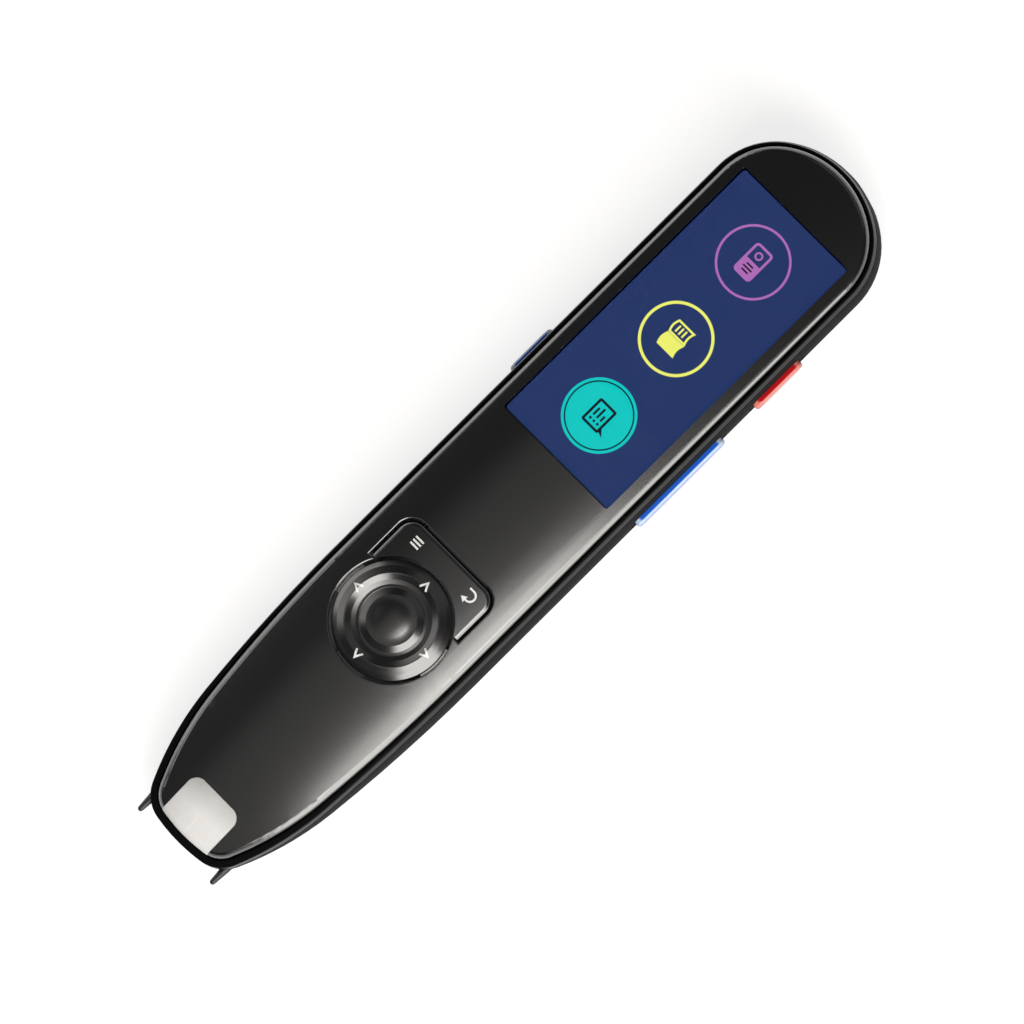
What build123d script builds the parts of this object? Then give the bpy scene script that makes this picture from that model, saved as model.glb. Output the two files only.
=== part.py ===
from build123d import *
import os
from math import asin, cos, degrees, radians, sin, sqrt, tan

# Scanning pen. X runs from the nose (-X) to the tail (+X), Z is up out of the screen, and the
# flat back lies on Z = 0. Lengths are in millimetres, angles in degrees.

# Body outline seen from above: arcs from each straight side to the nose and to the tail
body_length = 154.0
body_width = 32.0
nose_flare_radius = 298.0
nose_flare_turn = 6.0
nose_taper_radius = 55.0
nose_taper_turn = 18.5
nose_corner_radius = 6.18
nose_corner_turn = 56.2
tail_corner_radius = 13.5
tail_corner_turn = 56.25

# Section of the barrel-shaped sides and the back
body_thickness = 17.5
widest_level = 8.7
side_upper_radius = 30.0
back_corner_radius = 4.4
back_inset = 5.5

# Crowned top, level from the bend to the tail and curving down to the nose
crown_radius = 110.0
nose_bend_length = 50.45
nose_bend_radius = 250.0

# Shells and the seams between them, as depths below the top and insets from the outline
housing_wall = 1.5
cover_wall = 1.3
skirt_wall = 1.1
seam_drop = 3.6
trim_drop = 1.6
trim_inset = 1.25
trim_groove = 0.25
flange_thickness = 0.6
flange_inset = 2.9
cover_edge_round = 1.2
trim_edge_round = 0.22
seam_round = 0.2
fit_gap = 0.05
overrun = 2.0

# Slanted scanning face under the nose and its glass
scan_top_level = 7.5
scan_tilt = 42.0
scan_glass_width = 13.0
scan_glass_height = 6.6
scan_glass_thickness = 0.8
scan_glass_corner = 1.0
scan_ledge = 0.7

# Window in the cover at the nose
nose_window_width = 10.5
nose_window_length = 10.3
nose_window_corner = 2.0

# Moving tip with two prongs
tip_reach = 1.1
prong_spacing = 16.88
prong_level = 7.6
prong_tip_radius = 0.5
prong_radius = 0.75
prong_taper_length = 3.4
prong_clearance = 0.15
tip_travel = 1.0
tip_bar_depth = 1.6
tip_bar_width = 1.3
tip_bar_from_nose = 5.9
tip_pin_radius = 0.5
tip_pin_length = 5.2
tip_guide_gap = 4.0
tip_guide_thickness = 1.0
tip_guide_width = 3.0
tip_guide_rise = 1.6
tip_spring_radius = 0.95
tip_spring_wire = 0.25
tip_spring_turns = 6

# Tip switch and lamp board in front of the lens
light_board_thickness = 0.6
light_board_side_gap = 1.165
light_board_low = 3.0
light_board_high = 9.3
light_board_gap = 0.3
light_hole_radius = 1.75
lamp_size = 1.6
lamp_height = 0.6
lamp_margin = 0.6
lamp_level = 4.6
tip_switch_depth = 1.1
tip_switch_width = 3.0
tip_switch_high = 9.2
tip_switch_low = 7.45
tip_switch_stem_radius = 0.4
tip_switch_stem_level = 7.95
tip_switch_free_gap = 0.1

# Scanning camera: lens, its housing and the sensor board behind it
lens_tilt = 20.0
lens_start = 9.0
lens_length = 6.0
lens_radius = 2.4
lens_front_radius = 3.0
lens_front_length = 1.2
lens_glass_radius = 1.7
lens_glass_depth = 0.5
lens_clearance = 0.05
optics_width = 11.0
optics_length = 6.4
optics_high = 10.6
optics_foot_width = 3.6
optics_foot_length = 3.8
optics_foot_thickness = 1.2
sensor_board_height = 7.2
sensor_board_width = 9.0
sensor_board_thickness = 0.8
sensor_board_gap = 0.02
sensor_chip_size = 3.2
sensor_chip_height = 0.7
flex_thickness = 0.15
sensor_flex_width = 5.0
sensor_flex_bend = 1.0

# Front keys. The ring's centre is measured from the nose
keys_from_nose = 50.15
pocket_radius = 10.4
pocket_end_from_keys = 14.95
pocket_end_corner = 3.3
pocket_filler_from_keys = 5.0
pocket_edge_round = 0.2
key_gap = 0.3
ring_inner_radius = 5.9
ring_outer_radius = 9.9
ring_foot_radius = 6.65
ring_crest_radius = 7.7
ring_shoulder_radius = 8.95
ring_inner_drop = 0.62
ring_foot_drop = 0.5
ring_crest_drop = 0.05
ring_shoulder_drop = 0.52
ring_edge_drop = 1.0
ring_edge_round = 0.25
ring_bottom_drop = 2.9
ring_recess_radius = 6.8
ring_recess_drop = 1.9
ring_ear_radius = 11.0
ring_ear_width = 6.0
ring_ear_thickness = 0.5
ring_post_place_radius = 9.1
ring_post_radius = 0.6
post_height = 0.75
carrier_inner_radius = 6.8
carrier_outer_radius = 8.2
carrier_thickness = 0.3
carrier_lift = 0.5
nub_radius = 0.5
nub_gap = 0.05
ok_radius = 5.3
ok_dome_radius = 2.7
ok_rim_radius = 4.2
ok_top_drop = 0.1
ok_dome_drop = 0.3
ok_rim_drop = 0.42
ok_edge_drop = 0.86
ok_flange_radius = 6.5
ok_flange_thickness = 0.6
ok_flange_drop = 2.6
ok_post_radius = 1.6
ok_post_height = 0.35
menu_key_drop = 0.12
menu_key_round = 0.95
menu_horn_round = 0.35
menu_flange_reach = 0.7
menu_flange_thickness = 0.5
menu_rib_width = 1.0
menu_post_spacing = 15.0
menu_post_from_end = 3.0

# Keypad under the front keys
mat_thickness = 0.5
mat_lift = 0.45
mat_rim = 0.8
mat_margin = 1.8
mat_half_width = 12.0
dome_radius = 1.8
dome_height = 0.3

# Screen, measured from the key pocket and from the tail
screen_from_keys = 22.45
screen_from_tail = 11.8
screen_width = 23.5
window_margin = 0.15
window_corner = 0.5
panel_thickness = 2.0
panel_drop = 2.3
panel_side_margin = 0.8
panel_tail_margin = 1.0
panel_head_margin = 3.0
panel_corner = 1.0
gasket_thickness = 0.25
display_flex_width = 10.0
display_flex_lap = 6.0

# Main board and what it carries
board_level = 11.4
board_thickness = 1.0
board_width = 24.4
board_from_nose = 30.95
board_from_tail = 11.55
board_corner = 1.5
connector_length = 3.0
connector_width = 8.0
connector_height = 0.65
processor_size = 9.0
processor_height = 1.4
processor_share = 0.19
memory_length = 7.0
memory_width = 8.0
memory_height = 1.1
memory_spacing = 10.0
memory_share = 0.5
power_chip_size = 4.0
power_chip_height = 0.9
power_chip_spacing = 7.5
power_chip_share = 0.8
wire_connector_length = 2.6
wire_connector_width = 4.6
wire_connector_height = 1.5

# Battery on the floor, measured from the speaker and from the tail
battery_from_speaker = 16.0
battery_width = 23.0
battery_thickness = 5.4
battery_from_tail = 27.55
battery_corner = 1.6
battery_pad_thickness = 0.5
battery_pad_margin = 2.0
battery_stop_gap = 0.4
battery_stop_thickness = 0.8
battery_stop_height = 2.6
battery_stop_width = 14.0
wire_radius = 0.4
wire_spacing = 1.6
wire_bend = 1.4
battery_wire_level = 5.2

# Speaker on the floor under the keys
speaker_length = 20.0
speaker_width = 13.0
speaker_height = 4.0
speaker_rim = 1.4
speaker_cone_depth = 0.8
speaker_from_keys = -2.7
speaker_gasket_thickness = 0.5
mesh_thickness = 0.2
mesh_margin = 0.6
speaker_slot_count = 7
speaker_slot_pitch = 2.0
speaker_slot_width = 0.9
speaker_slot_length = 7.0
speaker_wire_reach = 2.6

# Side buttons, standing out of the widest level of the sides
button_height = 3.0
button_stand = 0.8
button_gap = 0.2
button_round = 0.5
button_travel = 0.4
button_flange_thickness = 0.6
button_flange_margin = 0.7
button_flange_gap = 0.2
volume_flange_gap = 0.45
scallop_depth = 0.22
scallop_margin = 0.8
volume_length = 19.8
volume_from_tail = 54.95
power_length = 10.5
power_from_tail = 32.55
record_length = 9.4
record_from_tail = 56.85
switch_length = 3.8
switch_depth = 1.7
switch_stem_radius = 0.65
switch_stem_length = 0.5
switch_free_gap = 0.1
volume_switch_spacing = 12.0

# Tail sockets, hung under the board
charge_offset = 3.0
charge_width = 8.94
charge_height = 3.2
charge_depth = 7.4
charge_wall = 0.3
charge_tongue_width = 6.7
charge_tongue_height = 0.7
charge_tongue_length = 4.6
charge_recess = 0.3
jack_offset = -4.5
jack_bore_radius = 1.775
jack_bore_length = 14.0
jack_body_width = 5.2
jack_body_height = 5.2
jack_body_length = 12.4
jack_collar_radius = 2.5
jack_recess = 0.9
jack_back_wall = 1.0
socket_clearance = 0.15

# Screws, bosses and posts
boss_meet_level = 9.2
boss_radius = 2.0
cover_boss_radius = 1.5
tail_boss_from_tail = 8.8
tail_boss_spacing = 19.3
nose_boss_from_nose = 28.45
nose_boss_spacing = 20.8
housing_screw_radius = 0.75
housing_screw_head_radius = 1.3
housing_screw_head_height = 0.9
housing_screw_grip = 3.6
screw_recess_radius = 1.5
screw_web = 1.6
screw_hole_gap = 0.1
cross_width = 0.35
cross_length = 1.7
cross_depth = 0.45
board_screw_radius = 0.6
board_screw_head_radius = 1.15
board_screw_head_height = 0.7
board_screw_length = 4.0
board_post_radius = 1.7
board_post_spacing = 18.4
board_post_battery_gap = 3.5
board_rest_radius = 1.4
board_rest_from_end = 2.2
optics_screw_length = 2.2

# Levels and places worked out from the sizes above
tail_x = (body_length + tip_reach) / 2
nose_x = tail_x - body_length
tip_x = nose_x - tip_reach
half_width = body_width / 2
top_level = body_thickness
bend_x = nose_x + nose_bend_length
seam_level = top_level - seam_drop
trim_level = top_level - trim_drop
flange_level = seam_level + flange_thickness
cover_inset = trim_inset + trim_groove
keys_x = nose_x + keys_from_nose
pocket_end_x = keys_x + pocket_end_from_keys
screen_tail_x = tail_x - screen_from_tail
screen_head_x = pocket_end_x + screen_from_keys
panel_top = top_level - panel_drop
panel_low = panel_top - panel_thickness
panel_head_x = screen_head_x - panel_head_margin
panel_tail_x = screen_tail_x + panel_tail_margin
panel_half_width = screen_width / 2 + panel_side_margin
gasket_top = panel_top + gasket_thickness
board_top = board_level + board_thickness
board_head_x = nose_x + board_from_nose
board_tail_x = tail_x - board_from_tail
mat_low = board_top + mat_lift
mat_top = mat_low + mat_thickness
speaker_x = keys_x + speaker_from_keys
battery_tail_x = tail_x - battery_from_tail
battery_head_x = speaker_x + speaker_length / 2 + battery_from_speaker
battery_length = battery_tail_x - battery_head_x
battery_stop_x = battery_head_x - battery_stop_gap - battery_stop_thickness
battery_low = housing_wall + battery_pad_thickness
battery_top = battery_low + battery_thickness
ring_bottom = top_level - ring_bottom_drop
carrier_low = mat_top + carrier_lift
carrier_top = carrier_low + carrier_thickness
wall_inner_y = half_width - housing_wall
volume_x = tail_x - volume_from_tail
power_x = tail_x - power_from_tail
record_x = tail_x - record_from_tail
head_seat_level = boss_meet_level - screw_web
tip_bar_front_x = nose_x + tip_bar_from_nose
tip_bar_back_x = tip_bar_front_x + tip_bar_width
tip_guide_x = tip_bar_back_x + tip_guide_gap
light_board_x = tip_bar_back_x + tip_travel + tip_switch_free_gap + light_board_gap + tip_switch_depth
tip_spring_reach = tip_spring_radius + tip_spring_wire / 2
light_board_width = prong_spacing - 2 * (tip_spring_reach + light_board_side_gap)
lamp_spacing = light_board_width - lamp_size - 2 * lamp_margin
scan_reach = scan_top_level / tan(radians(scan_tilt))
scan_x = nose_x + scan_reach / 2
scan_z = scan_top_level / 2


# Basic solids

def block(x_low, x_high, y_low, y_high, z_low, z_high):
    """A box between two opposite corners."""
    centre = Pos((x_low + x_high) / 2, (y_low + y_high) / 2, (z_low + z_high) / 2)
    return centre * Box(x_high - x_low, y_high - y_low, z_high - z_low)


def column(x, y, z_low, z_high, radius):
    """An upright cylinder."""
    return Pos(x, y, z_low) * Cylinder(radius, z_high - z_low, align=(Align.CENTER, Align.CENTER, Align.MIN))


def slab(x_low, x_high, half, z_low, z_high, corner):
    """A flat plate about the centreline with rounded corners."""
    outline = Pos((x_low + x_high) / 2, 0) * RectangleRounded(x_high - x_low, 2 * half, corner)
    return Pos(0, 0, z_low) * extrude(outline, amount=z_high - z_low)


def rod(x_low, x_high, y, z, radius):
    """A cylinder along X."""
    return Pos((x_low + x_high) / 2, y, z) * Rot(0, 90, 0) * Cylinder(radius, x_high - x_low)


def turned(points, x):
    """A solid of revolution about the upright axis at x, from radius and level pairs."""
    profile = make_face(Polyline(*[(r, 0, z) for r, z in points], close=True))
    return Pos(x, 0, 0) * revolve(profile, Axis.Z, 360)


def outer_rim(solid_faces):
    """The edges that only one of the given faces has."""
    edges = []
    for face in solid_faces:
        for edge in face.edges():
            owners = sum(any(edge.is_same(other) for other in f.edges()) for f in solid_faces)
            if owners == 1:
                edges.append(edge)
    return edges


# Body outline

def end_stations(arcs):
    """Start, middle and end points of the tangent arcs from a straight side round to the axis.

    Each station holds the reach along the body, the half width and the turn so far. The last
    arc is centred on the axis, so the outline closes whatever the other arcs are."""
    reach, half, turn = 0.0, half_width, 0.0
    stations = [(reach, half, turn)]
    for radius, arc_turn in [*arcs, (None, 90.0 - sum(arc[1] for arc in arcs))]:
        if radius is None:
            radius = half / cos(radians(turn))
        centre_reach = reach - radius * sin(radians(turn))
        centre_half = half - radius * cos(radians(turn))
        for share in (0.5, 1.0):
            angle = radians(turn + arc_turn * share)
            reach = centre_reach + radius * sin(angle)
            half = centre_half + radius * cos(angle)
            stations.append((reach, half, turn + arc_turn * share))
        turn += arc_turn
    return stations


def inset_points(stations, end_x, toward, inset):
    """The stations as points in plan, set in from the outline."""
    side_x = end_x - toward * stations[-1][0]
    points = []
    for reach, half, turn in stations:
        angle = radians(turn)
        points.append((side_x + toward * (reach - inset * sin(angle)), half - inset * cos(angle)))
    return points


def outline_ends(inset):
    nose = end_stations([
        (nose_flare_radius, nose_flare_turn),
        (nose_taper_radius, nose_taper_turn),
        (nose_corner_radius, nose_corner_turn)])
    tail = end_stations([(tail_corner_radius, tail_corner_turn)])
    return inset_points(nose, nose_x, -1, inset), inset_points(tail, tail_x, 1, inset)


def outline_edges(inset):
    """The body outline, set in by a distance, as arcs and two straight sides."""
    ends = outline_ends(inset)
    edges = []
    for points in ends:
        for side in (1, -1):
            half = [(x, side * y) for x, y in points]
            for i in range(0, len(half) - 3, 2):
                edges.append(ThreePointArc(half[i], half[i + 1], half[i + 2]))
        start, end = points[-3], points[-1]
        edges.append(ThreePointArc(start, end, (start[0], -start[1])))
    for side in (1, -1):
        nose_start, tail_start = ends[0][0], ends[1][0]
        edges.append(Line((nose_start[0], side * nose_start[1]), (tail_start[0], side * tail_start[1])))
    return edges


def plan_prism(inset, z_low, z_high):
    """The inset outline as an upright prism."""
    return Pos(0, 0, z_low) * extrude(make_face(outline_edges(inset)), amount=z_high - z_low)


# Body section and levels

def side_band(offset, band_inset):
    """The side of the body, from the widest level up and down, swept round the outline."""
    level_gap = widest_level - back_corner_radius
    inset_gap = back_inset - back_corner_radius
    lower_radius = (back_inset ** 2 + level_gap ** 2 - back_corner_radius ** 2) / (2 * inset_gap)
    join = asin(level_gap / (lower_radius - back_corner_radius))
    x = (outline_ends(0)[0][0][0] + outline_ends(0)[1][0][0]) / 2

    def on_arc(centre_inset, level, radius, angle):
        return (x, -half_width + centre_inset - (radius - offset) * cos(angle),
                level - (radius - offset) * sin(angle))

    rise = asin((top_level - widest_level) / side_upper_radius)
    upper = [on_arc(side_upper_radius, widest_level, side_upper_radius, -rise * s) for s in (1.0, 0.5, 0.0)]
    lower = [on_arc(lower_radius, widest_level, lower_radius, join * s) for s in (0.0, 0.5, 1.0)]
    quarter = radians(90)
    corner = [on_arc(back_inset, back_corner_radius, back_corner_radius, join + (quarter - join) * s)
              for s in (0.0, 0.5, 1.0)]
    inner_low = (x, -half_width + band_inset, offset)
    inner_high = (x, -half_width + band_inset, upper[0][2])
    section = make_face([
        ThreePointArc(*upper),
        ThreePointArc(upper[2], lower[1], lower[2]),
        ThreePointArc(lower[2], corner[1], corner[2]),
        Line(corner[2], inner_low),
        Line(inner_low, inner_high),
        Line(inner_high, upper[0])])
    return sweep(section, path=Wire(outline_edges(0)))


def hull(offset):
    """The whole body up to the top level, set in on every side by offset."""
    band_inset = (back_inset + nose_corner_radius) / 2
    core = plan_prism(back_inset, offset, top_level - offset)
    body = side_band(offset, band_inset) + core
    rise = offset / cos(radians(scan_tilt))
    slope = tan(radians(scan_tilt))
    front_x = nose_x - overrun
    back_x = nose_x + scan_reach + overrun
    start_z = scan_top_level + rise + overrun * slope
    end_z = rise - overrun * slope
    wedge = make_face(Polyline((front_x, 0, start_z), (back_x, 0, end_z), (front_x, 0, end_z), close=True))
    return body - extrude(wedge, amount=half_width + overrun, both=True)


def bend_point(level, angle):
    """A point on the nose bend at a level, turned by an angle from the bend's start."""
    radius = level - top_level + nose_bend_radius
    return (bend_x - radius * sin(angle), 0, top_level - nose_bend_radius + radius * cos(angle))


def bend_turn():
    return asin((nose_bend_length + overrun) / (nose_bend_radius - body_thickness - overrun))


def below(level):
    """Everything under a level that follows the nose bend."""
    turn = bend_turn()
    end = bend_point(level, turn)
    start = bend_point(level, 0)
    tail = tail_x + overrun
    profile = make_face([
        Line((tail, 0, -overrun), (tail, 0, level)),
        Line((tail, 0, level), start),
        ThreePointArc(start, bend_point(level, turn / 2), end),
        Line(end, (end[0], 0, -overrun)),
        Line((end[0], 0, -overrun), (tail, 0, -overrun))])
    return extrude(profile, amount=half_width + overrun, both=True)


def below_crown(drop):
    """Everything under the crowned top surface, lowered by drop."""
    edge_y = half_width + overrun
    radius = crown_radius - drop
    centre_z = top_level - crown_radius
    edge_z = centre_z + sqrt(radius ** 2 - edge_y ** 2)
    corners = [(bend_x, -edge_y, edge_z), (bend_x, -edge_y, -overrun),
               (bend_x, edge_y, -overrun), (bend_x, edge_y, edge_z)]
    crown = ThreePointArc(corners[3], (bend_x, 0, top_level - drop), corners[0])
    section = make_face([Polyline(*corners), crown])
    level_part = extrude(section, amount=tail_x + overrun - bend_x, dir=(1, 0, 0))
    bend_axis = Axis((bend_x, 0, top_level - nose_bend_radius), (0, -1, 0))
    return level_part + revolve(section, bend_axis, degrees(bend_turn()))


# Rear housing

def side_stadium(x, length, height, y_low, y_high):
    """A long rounded prism through a side wall, centred on the widest level."""
    outline = Plane.XZ * SlotOverall(length, height)
    return Pos(x, y_high, widest_level) * extrude(outline, amount=y_high - y_low)


def side_places():
    """Centre, length and side of each side button."""
    return [(volume_x, volume_length, -1), (power_x, power_length, -1), (record_x, record_length, 1)]


def boss_places():
    return [(tail_x - tail_boss_from_tail, s * tail_boss_spacing / 2) for s in (1, -1)] + [
        (nose_x + nose_boss_from_nose, s * nose_boss_spacing / 2) for s in (1, -1)]


def board_screw_places():
    places = []
    for x in (battery_head_x - board_post_battery_gap, battery_tail_x + board_post_battery_gap):
        for side in (1, -1):
            places.append((x, side * board_post_spacing / 2))
    return places


def optics_screw_places():
    y = (optics_width + optics_foot_width) / 2
    x = light_board_x + light_board_thickness + optics_length - optics_foot_length / 2
    return [(x, y), (x, -y)]


def side_openings():
    """Holes and shallow scallops for the side buttons."""
    cuts = []
    for x, length, side in side_places():
        hole_length = length + 2 * button_gap
        hole_height = button_height + 2 * button_gap
        scallop_length = hole_length + 2 * scallop_margin
        scallop_height = hole_height + 2 * scallop_margin
        outer = side * (half_width + overrun)
        hole_inner = side * (wall_inner_y - overrun)
        scallop_inner = side * (half_width - scallop_depth)
        cuts.append(side_stadium(x, hole_length, hole_height, min(outer, hole_inner), max(outer, hole_inner)))
        cuts.append(side_stadium(x, scallop_length, scallop_height,
                                 min(outer, scallop_inner), max(outer, scallop_inner)))
    return cuts


def scan_frame(width, height, corner, depth_low, depth_high):
    """A rounded plate lying in the slanted face, between two depths from it."""
    place = Pos(scan_x, 0, scan_z) * Rot(0, scan_tilt - 90, 0)
    plate = Plane.YZ * RectangleRounded(width, height, corner)
    return place * Pos(depth_low, 0, 0) * extrude(plate, amount=depth_high - depth_low)


def speaker_slots():
    """A row of slots in the floor under the speaker."""
    slot = Rot(0, 0, 90) * SlotOverall(speaker_slot_length, speaker_slot_width)
    cuts = []
    for i in range(speaker_slot_count):
        x = speaker_x + (i - (speaker_slot_count - 1) / 2) * speaker_slot_pitch
        cuts.append(Pos(x, 0, -overrun) * extrude(slot, amount=overrun + housing_wall + overrun))
    return cuts


def tail_openings():
    """Holes through the tail wall for the charging socket and the headphone jack."""
    gap = 2 * socket_clearance
    charge_hole = Plane.YZ * SlotOverall(charge_width + gap, charge_height + gap)
    start_x = tail_x - tail_boss_from_tail
    length = tail_boss_from_tail + overrun
    charge = Pos(start_x, charge_offset, charge_level()) * extrude(charge_hole, amount=length)
    jack = rod(start_x, start_x + length, jack_offset, jack_level(), jack_collar_radius + socket_clearance)
    return [charge, jack]


def charge_level():
    return board_level - charge_height / 2


def jack_level():
    return board_level - jack_body_height / 2


def tip_guide(side):
    """The pillar on the floor that a rear pin of the tip runs in."""
    y = side * prong_spacing / 2
    half = tip_guide_width / 2
    high = prong_level + tip_guide_rise
    return block(tip_guide_x, tip_guide_x + tip_guide_thickness, y - half, y + half, 0, high)


def rear_housing():
    body = hull(0) & below(seam_level)
    cavity = hull(housing_wall)
    seam_edges = outer_rim([f for f in body.faces() if f.normal_at().Z > 0.5])
    body = fillet(seam_edges, seam_round)
    shell = body - cavity
    keep = body & below(seam_level - overrun)
    posts = []
    for x, y in boss_places():
        posts.append(column(x, y, 0, boss_meet_level, boss_radius))
    for x, y in board_screw_places():
        posts.append(column(x, y, 0, board_level, board_post_radius))
    rest_x = board_head_x + board_rest_from_end
    for side in (1, -1):
        posts.append(column(rest_x, side * board_post_spacing / 2, 0, board_level, board_rest_radius))
        posts.append(tip_guide(side))
    for x, y in optics_screw_places():
        posts.append(column(x, y, 0, optics_foot_level(), board_post_radius))
    stop_half = battery_stop_width / 2
    stop_high = housing_wall + battery_stop_height
    for low_x in (battery_stop_x, battery_tail_x + battery_stop_gap):
        posts.append(block(low_x, low_x + battery_stop_thickness, -stop_half, stop_half, 0, stop_high))
    for post in posts:
        shell += post & keep
    for cut in side_openings() + speaker_slots() + tail_openings():
        shell -= cut
    for x, y in boss_places():
        shell -= column(x, y, -overrun, head_seat_level, screw_recess_radius)
        shell -= column(x, y, 0, boss_meet_level + overrun, housing_screw_radius + screw_hole_gap)
    for x, y in board_screw_places():
        shell -= column(x, y, board_top - board_screw_length - fit_gap, board_top,
                        board_screw_radius + fit_gap)
    for x, y in optics_screw_places():
        shell -= column(x, y, optics_seat_level() - optics_screw_length - fit_gap, optics_seat_level(),
                        board_screw_radius + fit_gap)
    for side in (1, -1):
        y = side * prong_spacing / 2
        shell -= rod(nose_x - overrun, tip_bar_back_x + tip_travel + fit_gap, y, prong_level,
                     prong_radius + prong_clearance)
        shell -= rod(tip_bar_back_x, tip_guide_x, y, prong_level, tip_spring_reach + prong_clearance)
        shell -= rod(tip_guide_x, tip_guide_x + tip_guide_thickness + overrun, y, prong_level,
                     tip_pin_radius + prong_clearance)
    glass_gap = 2 * fit_gap
    shell -= scan_frame(scan_glass_width - 2 * scan_ledge, scan_glass_height - 2 * scan_ledge,
                        scan_glass_corner, -overrun, housing_wall + overrun)
    shell -= scan_frame(scan_glass_width + glass_gap, scan_glass_height + glass_gap,
                        scan_glass_corner, -overrun, scan_glass_thickness)
    return shell


# Trim frame and front cover

def trim_frame():
    ring = (hull(0) & below(trim_level)) - below(seam_level)
    top_faces = [f for f in ring.faces() if f.normal_at().Z > 0.5]
    ring = fillet(outer_rim(top_faces), trim_edge_round)
    low_faces = [f for f in ring.faces() if f.normal_at().Z < -0.5]
    ring = fillet(outer_rim(low_faces), seam_round)
    well = plan_prism(trim_inset, 0, top_level + overrun) - below(flange_level)
    return ring - well - plan_prism(flange_inset, 0, top_level + overrun)


def cover_shell():
    """The crowned cover with its rounded edge and its skirt, before any opening is cut."""
    blank = plan_prism(cover_inset, 0, top_level + overrun) & below_crown(0)
    top_faces = [f for f in blank.faces() if f.normal_at().Z > 0.5 and f.center().Z > seam_level - seam_drop]
    blank = fillet(outer_rim(top_faces), cover_edge_round) - below(flange_level)
    hollow = plan_prism(cover_inset + skirt_wall, 0, top_level + overrun) & below_crown(cover_wall)
    return blank - hollow


def nose_window_outline(gap):
    """The nose window's outline as a prism, open towards the nose."""
    rear_x = nose_x + nose_window_length + gap
    front_x = nose_x - overrun - nose_window_corner
    half = nose_window_width / 2 + gap
    return slab(front_x, rear_x, half, 0, top_level + overrun, nose_window_corner + gap)


def pocket_prism():
    """The opening for the front keys: a round hole joined to a squared one at its tail side."""
    high = top_level + overrun
    round_hole = column(keys_x, 0, 0, high, pocket_radius)
    square = slab(keys_x - pocket_radius, pocket_end_x, pocket_radius, 0, high, pocket_end_corner)
    filler_x = keys_x + pocket_filler_from_keys
    square &= block(filler_x, pocket_end_x + overrun, -half_width, half_width, 0, high)
    return round_hole + square


def screen_prism(margin, z_low, z_high, corner):
    """A rounded prism round the screen's lit area."""
    half = screen_width / 2 + margin
    return slab(screen_head_x - margin, screen_tail_x + margin, half, z_low, z_high, corner)


def panel_prism(z_low, z_high):
    return slab(panel_head_x, panel_tail_x, panel_half_width, z_low, z_high, panel_corner)


def front_cover():
    shell = cover_shell() - nose_window_outline(fit_gap)
    inside_cover = below_crown(cover_wall / 2)
    shell += panel_prism(gasket_top, top_level) & inside_cover
    for x, y in boss_places():
        shell += column(x, y, boss_meet_level, top_level, cover_boss_radius) & inside_cover
        shell -= column(x, y, boss_meet_level - overrun, boss_meet_level + housing_screw_grip,
                        housing_screw_radius + fit_gap)
    shell -= screen_prism(window_margin + fit_gap, 0, top_level + overrun, window_corner)
    return round_pocket(shell - pocket_prism())


def round_pocket(shell):
    """Round the top edge of the opening for the front keys."""
    reach = pocket_radius + fit_gap
    edges = []
    for edge in outer_rim([f for f in shell.faces() if f.normal_at().Z > 0.5]):
        middle = edge @ 0.5
        along = keys_x - reach < middle.X < pocket_end_x + fit_gap
        if along and abs(middle.Y) < reach and middle.Z > panel_top:
            edges.append(edge)
    return fillet(edges, pocket_edge_round)


def nose_window():
    return cover_shell() & nose_window_outline(0)


def display_window():
    return screen_prism(window_margin, gasket_top, top_level + overrun, window_corner) & below_crown(0)


def display_gasket():
    return panel_prism(panel_top, gasket_top) - screen_prism(0, 0, top_level, window_corner)


def display_panel():
    return panel_prism(panel_low, panel_top)


def display_flex():
    half = display_flex_width / 2
    head_x = panel_head_x - display_flex_lap
    return block(head_x, panel_head_x + display_flex_lap, -half, half, panel_low - flex_thickness, panel_low)


# Scanning face, tip and optics

def scan_glass():
    corner = scan_glass_corner - fit_gap
    return scan_frame(scan_glass_width, scan_glass_height, corner, 0, scan_glass_thickness)


def prong(side):
    """One leg of the fork with its tapered end, and the rear pin in line with it."""
    y = side * prong_spacing / 2
    taper_x = tip_x + prong_taper_length
    middle = radians(45)
    profile = make_face([
        ThreePointArc((tip_x, 0), (tip_x + prong_tip_radius * (1 - cos(middle)),
                                   prong_tip_radius * sin(middle)),
                      (tip_x + prong_tip_radius, prong_tip_radius)),
        Line((tip_x + prong_tip_radius, prong_tip_radius), (taper_x, prong_radius)),
        Line((taper_x, prong_radius), (tip_bar_back_x, prong_radius)),
        Line((tip_bar_back_x, prong_radius), (tip_bar_back_x, 0)),
        Line((tip_bar_back_x, 0), (tip_x, 0))])
    leg = Pos(0, y, prong_level) * revolve(profile, Axis.X, 360)
    return leg + rod(tip_bar_back_x - tip_bar_width / 2, tip_bar_back_x + tip_pin_length, y, prong_level,
                     tip_pin_radius)


def tip_fork():
    half = prong_spacing / 2
    bar = block(tip_bar_front_x, tip_bar_back_x, -half, half,
                prong_level - tip_bar_depth / 2, prong_level + tip_bar_depth / 2)
    return bar + prong(1) + prong(-1)


def tip_springs():
    """Two coil springs round the rear pins."""
    length = tip_guide_gap - tip_spring_wire - 2 * fit_gap
    path = Helix(length / tip_spring_turns, length, tip_spring_radius)
    section = Plane(origin=path @ 0, z_dir=path % 0) * Circle(tip_spring_wire / 2)
    coil = sweep(section, path=path, is_frenet=True)
    start_x = tip_bar_back_x + fit_gap + tip_spring_wire / 2
    return Compound([Pos(start_x, side * prong_spacing / 2, prong_level) * Rot(0, 90, 0) * coil.solid()
                     for side in (1, -1)])


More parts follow.
